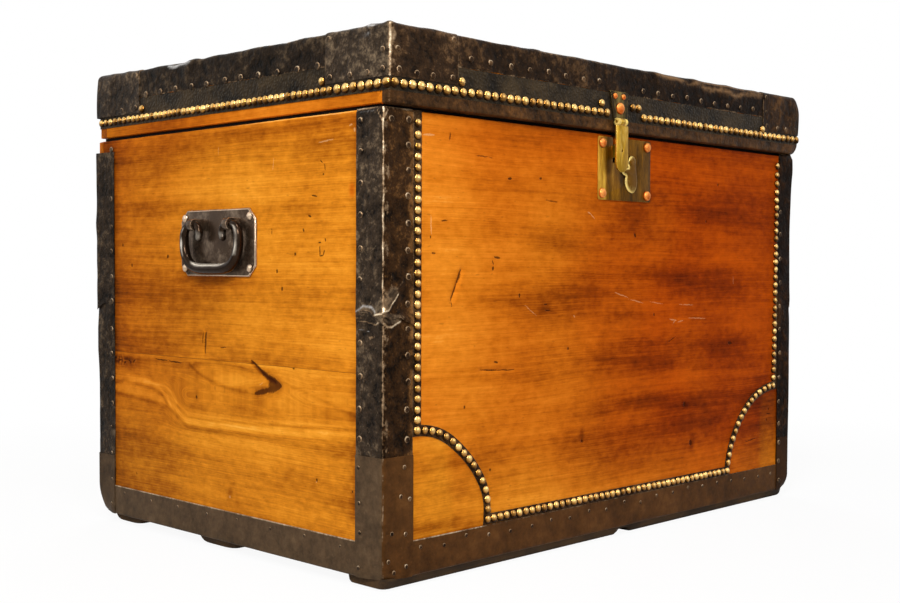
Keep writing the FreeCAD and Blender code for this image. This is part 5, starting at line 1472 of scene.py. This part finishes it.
# What the tacks lie on: one sheet, or a cap over a sheet.
SHEET, CAPPED = 0.9, 1.9
NEAR_TACKS = [(-405, 500), (-380, 501), (-380.5, 474), (-380, 447), (-381, 420), (-380.5, 391),
              (-381, 362), (-380, 334), (-381, 305), (-380.5, 278), (-381, 250), (-380, 222),
              (-382, 192), (-381.5, 160)]
NEAR_CAP_TACKS = [(-386, 131), (-391, 100), (-378, 96), (-404, 62), (-384, 59), (-383, 24),
                  (-401, 20), (-409, 33)]
# Tacks of the lid's caps: distance from the corner and height, on the sides and on front and back.
SIDE_CAP_TACKS = [(8, 551), (32, 549.5), (60, 549.5), (93, 550.5), (8, 571), (95, 592)]
LONG_CAP_TACKS = [(12, 551), (38, 549.5), (62, 549.5), (92, 550.5), (10, 572), (94, 592)]


def make_tacks():
    dice = random.Random(12)
    left, right, front, back = (-1, 0, 0), (1, 0, 0), (0, -1, 0), (0, 1, 0)
    front_face, front_cap = (1, -CARCASE_Y - SHEET), (1, -CARCASE_Y - CAPPED)
    places = []
    for facing in (left, right):
        face, cap = (0, facing[0] * (CARCASE_X + SHEET)), (0, facing[0] * (CARCASE_X + CAPPED))
        for y in (-250.5, 250.5):
            places += grid_tacks(face, facing, column(y, 160, 500, 32.5, dice))
            places += grid_tacks(cap, facing, column(y, 24, 128, 34, dice), 2.4)
        places += grid_tacks(face, facing, row(43, -220, 220, 62, dice, 3.0), 1.9)
    places += grid_tacks(front_face, front, NEAR_TACKS)
    places += grid_tacks(front_cap, front, NEAR_CAP_TACKS, 2.6)
    places += grid_tacks(front_face, front, column(388, 110, 500, 34, dice))
    places += grid_tacks(front_cap, front, column(388, 26, 84, 28, dice))
    places += grid_tacks(front_face, front, row(40, -360, 368, 36, dice, 4.0), 2.4)
    back_face = (1, CARCASE_Y + SHEET)
    for x in (-381, 381):
        places += grid_tacks(back_face, back, column(x, 110, 500, 34, dice))
    places += grid_tacks(back_face, back, row(40, -360, 360, 48, dice, 3.0))
    pin_tacks("carcase_tacks", "carcase", places)
    places = grid_tacks((0, LID_LEFT - 0.8), left, row(566, -175.5, 170, 34.5, dice, 0.8), 4.3)
    places += grid_tacks((0, LID_RIGHT + 0.8), right, row(569, -175.5, 170, 34.5, dice, 0.8))
    places += grid_tacks((1, LID_FRONT - 0.8), front, row(574, -292, -61, 33, dice, 1.2))
    places += grid_tacks((1, LID_FRONT - 0.8), front, row(571, 29, 329, 33.3, dice, 1.2))
    places += grid_tacks((1, LID_BACK + 0.8), back, row(573, -304, 314, 36, dice, 1.5))
    along_y, along_x = ((LID_FRONT, 1), (LID_BACK, -1)), ((LID_LEFT, 1), (LID_RIGHT, -1))
    for facing, face, edges, spots in (
            (left, (0, LID_LEFT - 1.8), along_y, SIDE_CAP_TACKS),
            (right, (0, LID_RIGHT + 1.8), along_y, SIDE_CAP_TACKS),
            (front, (1, LID_FRONT - 1.8), along_x, LONG_CAP_TACKS),
            (back, (1, LID_BACK + 1.8), along_x, LONG_CAP_TACKS)):
        for edge, sign in edges:
            places += grid_tacks(face, facing, [(edge + sign * d, z) for d, z in spots])
    pin_tacks("lid_tacks", "lid", places)


def pin_tacks(name, body, places):
    # The tacks' worn field also holds a painted light, brighter on their upper sides.
    form = browned(heads(places, TACK, 12, "worn", 0.18))
    piece(name, form, body, "sheet_iron", (), math.radians(70))


def make_rivets():
    dice = random.Random(31)
    for node, name, body, slot, profile in (
            ("hasp_rivets", "hasp_rivet_heads", "lid", "copper_rivet", DISHED),
            ("lock_plate_rivets", "lock_rivet_heads", "carcase", "copper_rivet", DISHED),
            ("handle_rivets", "handle_rivet_heads", "carcase", "handle_iron", ROUND)):
        big = 1.3 if node == "handle_rivets" else 1.0
        places = []
        for centre, facing, half, rise in sorted(head_places(node)):
            lean = Vector([dice.uniform(-0.05, 0.05) for _ in range(3)])
            tone = dice.uniform(-0.05, 0.15) + (0.3 if big > 1 else 0)
            places.append((centre, Vector(facing) + lean, half * big, rise * big, tone))
        # The rivets carry a slight painted light, brighter on top.
        piece(name, heads(places, profile, 20, "bright", 0.15), body, slot, (node,), ROUND_CREASE)


# ---------------------------------------------------------------- handles, hasp and lock
def tube(stations, sides):
    """A round bar through (centre, radius) stations, closed by its last rings."""
    centres = [Vector(c) for c, _ in stations]
    points, faces, ways = [], [], []
    across = None
    for i, (centre, (_, radius)) in enumerate(zip(centres, stations)):
        ahead = (centres[min(i + 1, len(centres) - 1)] - centres[max(i - 1, 0)]).normalized()
        across = ahead.orthogonal() if across is None else across - ahead * across.dot(ahead)
        across.normalize()
        beside = ahead.cross(across)
        for k in range(sides):
            turn = 2 * math.pi * k / sides
            ways.append(across * math.cos(turn) + beside * math.sin(turn))
            points.append(centre + ways[-1] * radius)
    for i in range(len(stations) - 1):
        for k in range(sides):
            a, b = i * sides + k, i * sides + (k + 1) % sides
            faces.append((a, b, b + sides, a + sides))
    faces.append(tuple(reversed(range(sides))))
    faces.append(tuple((len(stations) - 1) * sides + k for k in range(sides)))
    form = Form(points, faces)
    form.ways = np.array(ways)
    return form


def smooth_route(points, steps):
    """A rounded route through the given points and their radii."""
    result = []
    count = len(points)
    for i in range(count - 1):
        a, b, c, d = (Vector(points[max(0, min(count - 1, i + j))]) for j in (-1, 0, 1, 2))
        for s in range(steps):
            t = s / steps
            result.append(0.5 * ((2 * b) + (c - a) * t + (2 * a - 5 * b + 4 * c - d) * t ** 2
                                 + (3 * b - a - 3 * c + d) * t ** 3))
    return result + [Vector(points[-1])]


# Half of a bail from the middle of its grip to its tip: across, height and radius, mm.
BAIL_HALF = [(0, -53, 6.8), (14, -52.8, 6.7), (28, -51.8, 6.5), (40, -48.5, 6.3), (49.5, -41, 6.2),
             (54.5, -30, 6.0), (55.8, -20, 5.7), (55.2, -10, 5.4), (51, -2.5, 5.0), (45.5, 0, 4.7),
             (39, 0.2, 4.6), (32.5, 0.2, 4.6), (27.2, -1.6, 4.6), (24.4, -6, 4.6), (23.6, -11, 4.5),
             (24.6, -15.5, 4.3)]
# A bail's turning axis: distance from the chest's middle, shift to the back and height.
BAIL_AXIS = (428.0, 7.0, 394.0)


def make_bails():
    half = smooth_route(BAIL_HALF, 3)
    route = [Vector((-p.x, p.y, p.z)) for p in reversed(half[1:])] + half
    rounding = [(0.5, 0.86), (0.85, 0.5), (0.98, 0.12)]
    away, middle, axis_height = BAIL_AXIS
    for sign, name, body in ((-1, "left_bail", "left_handle"), (1, "right_bail", "right_handle")):
        stations = [((sign * away, middle + p.x, axis_height + p.y), p.z) for p in route]
        tip, back = Vector(stations[-1][0]), Vector(stations[0][0])
        size = stations[-1][1]
        out = (tip - Vector(stations[-2][0])).normalized()
        start = (back - Vector(stations[1][0])).normalized()
        stations = ([(back + start * size * a, size * b) for a, b in reversed(rounding)] + stations
                    + [(tip + out * size * a, size * b) for a, b in rounding])
        form = tube(stations, 16)
        aside, height = np.abs(form.points[:, 1] - middle), form.points[:, 2]
        # Painted highlights: a bright stripe along the top of the grip and down the arms' outer
        # sides.
        upper = np.exp(-(1 - form.ways @ (sign * 0.6, 0, 0.8)) / 0.032) * (height < 356)
        outer = np.exp(-(1 - form.ways @ (sign * 0.96, -0.28, 0)) / 0.025)
        outer = outer * (aside > 44) * ramp01(height, 346, 362)
        outer = outer * (0.5 + ripple(form.points, 12, 5)).clip(0, 1)
        form.fields["bright"] = (0.08 * ripple(form.points, 14, 3) - 0.08 + 1.3 * upper
                                 + 0.75 * outer + 0.2 * blob(aside, height, (24, 381), (6, 7)))
        bail = piece(name + "_bar", form, body, "handle_iron", (name,), ROUND_CREASE)
        bail.data.materials[0] = FINISHES["bail_iron"]


def plaque(outline, back, gauge, ease, crown=0.0):
    """A flat piece with eased edges: its outline in x and z, and its back and gauge in y."""
    count = len(outline)
    ring = np.array(outline, float)
    before, after = np.roll(ring, 1, 0), np.roll(ring, -1, 0)
    run = after - before
    inward = np.c_[-run[:, 1], run[:, 0]] / np.linalg.norm(run, axis=1)[:, None]
    points, bright = [], []
    for inset, out, value in ((0, 0, -0.1), (0, gauge - ease, 0.1),
                              (ease * 0.35, gauge - ease * 0.3, 0.5), (ease, gauge, 0.25),
                              (ease * 2.6, gauge + crown, 0.0)):
        level = ring + inward * inset
        points += [(x, back - out, z) for x, z in level]
        bright += [value] * count
    faces = []
    for r in range(4):
        for k in range(count):
            a, b = r * count + k, r * count + (k + 1) % count
            faces.append((a, b, b + count, a + count))
    faces.append(tuple(4 * count + k for k in range(count)))
    faces.append(tuple(reversed(range(count))))
    return Form(points, faces, bright=np.array(bright))


def arc(centre, radius, first, last, steps, squash=1.0):
    """Points of an arc between two angles in degrees."""
    turns = [math.radians(first + (last - first) * i / steps) for i in range(steps + 1)]
    return [(centre[0] + radius * math.cos(turn), centre[1] + squash * radius * math.sin(turn))
            for turn in turns]


def make_cover():
    """Pear-shaped drop cover with a thumb ear on its left."""
    head = arc((14.5, 480), 7.6, -20, 185, 12)
    ear = [(6.0, 472)] + arc((-1.5, 466.5), 4.6, 85, 265, 7) + [(1.5, 461)]
    lobe = arc((15, 455.5), 15, 158, 385, 26, 1.05)
    outline = head + ear + [(min(x, 15) + 0.7 * max(0.0, x - 15), z) for x, z in lobe]
    form = plaque(outline, -286.8, 1.9, 1.5, 0.5)
    # Painted highlight: the edges are brighter on the left, where they face the light.
    form.fields["bright"] *= 1.4 - 0.055 * (form.points[:, 0] - 2).clip(0, 20)
    cover = piece("keyhole_drop", form, "cover", "lock_brass", ("keyhole_cover",), math.radians(50))
    cover.data.materials[0] = FINISHES["cover_brass"]


def bearer(low, high, power, rise, notch):
    """A bearer with a rounded underside and round ends, worn thinner by rise; sizes in mm."""
    ends = np.array([0, 1, 3, 6, 10, 40, 55, 70])
    xs = np.unique(np.r_[low[0] + ends, high[0] - ends, np.arange(-20, 46, 3)])
    ts = np.linspace(-1, 1, 25)
    half, middle, tall = (high[1] - low[1]) / 2, (high[1] + low[1]) / 2, high[2] - low[2]
    points = []
    for x in xs:
        depth = min(x - low[0], high[0] - x)
        blunt = max(0.0, 1 - depth / 10) ** 2
        lifted = (rise * (1 - ramp01(np.array(depth), 40, 70)) + 1.5 * blunt
                  + notch * float(blob(x, 0, (13, 0), (14, 1), 3.0)))
        points += [(x, middle + half * t * (1 - 0.1 * blunt),
                    low[2] + lifted + (tall - lifted) * abs(t) ** power) for t in ts]
    count, last = len(ts), len(points) - len(ts)
    starts = range(0, last, count)
    faces = [(a + k, a + k + 1, a + count + k + 1, a + count + k)
             for a in starts for k in range(count - 1)]
    faces += [(a, a + count, a + 2 * count - 1, a + count - 1) for a in starts]
    faces += [tuple(reversed(range(count))), tuple(range(last, last + count))]
    return Form(points, faces)


def make_skids():
    for name, power, rise, notch, shift in (("front", 16, 0, 6.5, 0), ("middle", 6, 1.6, 0, 0),
                                            ("rear", 6, 1.6, 0, 6)):
        places = node_points("skid_" + name)
        low, high = places.min(0) + (1.5, shift, 0), places.max(0) + (-1.5, shift, 0.6)
        piece(name + "_skid", bearer(low, high, power, rise, notch), "carcase", "worn_skid",
              ("skid_" + name,), ROUND_CREASE)


# Places on the hasp, in metres.
STRAP_MIDDLE, STRAP_SHOULDER, BARREL_TOP, BARREL_BACK = -0.034, 0.5225, 0.5316, -0.2958


def narrowed_barrel(x):
    """The hasp's barrel, narrower than its node."""
    return -0.038 + (x + 0.042) * 0.65


def make_small_parts():
    for node, body, slot, width in (
            ("hinge_lower_leaves", "carcase", "hinge_iron", 0.5),
            ("hinge_upper_leaves", "lid", "hinge_iron", 0.5),
            ("hinge_pins", "carcase", "hinge_iron", 0.3),
            ("hasp_pin", "lid", "hasp_brass", 0.25), ("hasp_strap", "hasp", "hasp_brass", 0.8),
            ("hasp_staple", "hasp", "hasp_brass", 0.4),
            ("lock_plate", "carcase", "lock_brass", 0.8),
            ("lock_case", "carcase", "lock_iron", 0.3), ("lock_bolt", "bolt", "lock_iron", 0.4),
            ("cover_pin", "carcase", "lock_brass", 0.3),
            ("left_handle_plate", "carcase", "handle_iron", 1.0),
            ("right_handle_plate", "carcase", "handle_iron", 0.7),
            ("handle_eyes", "carcase", "handle_iron", 1.2),
            ("bottom_boards", "carcase", "plain_pine", 0.6),
            ("front_nail_band", "carcase", "dark_band", 0.2)):
        thing = softened(node, body, slot, width)
        if node in ("front_nail_band", "hasp_strap", "hasp_pin"):
            for vert in thing.data.vertices:
                if node == "front_nail_band":
                    x, z = settled_spot(vert.co.x / MM, vert.co.z / MM)
                    vert.co.x, vert.co.z = x * MM, z * MM
                elif node == "hasp_pin" or vert.co.z >= STRAP_SHOULDER:
                    vert.co.x = narrowed_barrel(vert.co.x)
                else:
                    vert.co.x = STRAP_MIDDLE + (vert.co.x - STRAP_MIDDLE) * 0.86
    leaf = softened("hasp_leaf", "lid", "lock_brass", 1.2, FINISHES["leaf_bronze"])
    for vert, store in zip(leaf.data.vertices, leaf.data.attributes["bright"].data):
        if vert.co.z < BARREL_TOP and vert.co.y < BARREL_BACK:
            store.value = 0.42
            vert.co.x = narrowed_barrel(vert.co.x)
        else:
            edge = 1.0 if vert.co.x < -0.0402 else 0.7 if vert.co.x > -0.0078 else 0.0
            store.value = edge if store.value > 0 else 0.0


def finish_plain_nodes():
    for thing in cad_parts.values():
        for slot in thing.material_slots:
            slot.material = FINISHES[slot.material.name.split(".")[0]]


# ---------------------------------------------------------------- camera, floor and light
def make_camera():
    yaw, pitch, roll = (math.radians(a) for a in (45.524, -1.603, 0.198))
    level_share = math.cos(pitch)
    forward = Vector((math.sin(yaw) * level_share, math.cos(yaw) * level_share, math.sin(pitch)))
    level = Vector((math.cos(yaw), -math.sin(yaw), 0))
    upright = level.cross(forward)
    right = level * math.cos(roll) + upright * math.sin(roll)
    up = upright * math.cos(roll) - level * math.sin(roll)
    data = bpy.data.cameras.new("view")
    data.lens, data.sensor_width, data.sensor_fit = 50.9, 36.0, "HORIZONTAL"
    camera = bpy.data.objects.new("view", data)
    turn = Matrix((right, up, -forward)).transposed().to_4x4()
    camera.matrix_world = Matrix.Translation((-1.3166, -1.2682, 0.3458)) @ turn
    bpy.context.scene.collection.objects.link(camera)
    bpy.context.scene.camera = camera


def make_lamp(name, place, aim, size, power, tint=(1, 1, 1)):
    data = bpy.data.lights.new(name, "AREA")
    data.shape, data.size, data.energy, data.color = "DISK", size, power, tint
    lamp = bpy.data.objects.new(name, data)
    lamp.location = place
    lamp.rotation_euler = (Vector(aim) - Vector(place)).to_track_quat("-Z", "Y").to_euler()
    bpy.context.scene.collection.objects.link(lamp)


def make_surroundings():
    world = bpy.data.worlds.new("studio")
    bpy.context.scene.world = world
    world.use_nodes = True
    f = Finish(world.node_tree)
    seen = [f.node("LightPath", output=i) for i in (0, 3, 6)]
    shown = seen[0].larger(seen[1]).larger(seen[2])
    colour = f.mix(shown, (0.22, 0.22, 0.22, 1.0), (1.0, 1.0, 1.0, 1.0))
    f.finish(f.node("Background", sockets={"Color": colour}), "OutputWorld")
    made, f = material("pale_floor")
    distance = f.node("VectorMath", {"operation": "LENGTH"}, {0: f.place()}, output=1)
    rays = f.node("LightPath", output=0) * (distance.step(0.7, 1.5) * 0.07 + 0.93)
    lit = f.surface(Base_Color=(0.86, 0.86, 0.86, 1.0), Roughness=0.9, Specular_IOR_Level=0.1)
    glow = f.node("Emission", sockets={"Color": (1.0, 1.0, 1.0, 1.0), "Strength": 1.0})
    f.finish(f.node("MixShader", sockets={0: rays, 1: lit, 2: glow}))
    mesh = bpy.data.meshes.new("floor")
    half = 9.0
    corners = [(-half, -half, 0), (half, -half, 0), (half, half, 0), (-half, half, 0)]
    mesh.from_pydata(corners, [], [(0, 1, 2, 3)])
    mesh.materials.append(made)
    floor = bpy.data.objects.new("floor", mesh)
    bpy.context.scene.collection.objects.link(floor)
    view = bpy.context.scene.view_settings
    view.view_transform = "Standard"
    make_lamp("key", (-1.5, -1.2, 1.3), (-0.4, -0.25, 0.3), 0.5, 29.5, (1.0, 0.97, 0.93))
    make_lamp("high", (-0.75, -0.7, 2.1), (-0.2, -0.25, 0.5), 0.5, 14)
    make_lamp("front_fill", (0.9, -2.4, 1.2), (0.1, -0.28, 0.3), 1.2, 9)
    make_lamp("side_fill", (-2.4, 0.9, 1.2), (-0.4, 0.0, 0.3), 1.2, 5)
    make_lamp("back_fill", (1.6, 2.0, 1.9), (0.0, 0.0, 0.3), 1.6, 40)


make_camera()
make_surroundings()
finish_plain_nodes()
make_carcase_boards()
make_lid_boards()
make_corner_bindings()
make_bottom_bindings()
make_lid_metal()
make_nails()
make_tacks()
make_rivets()
make_bails()
make_cover()
make_skids()
make_small_parts()
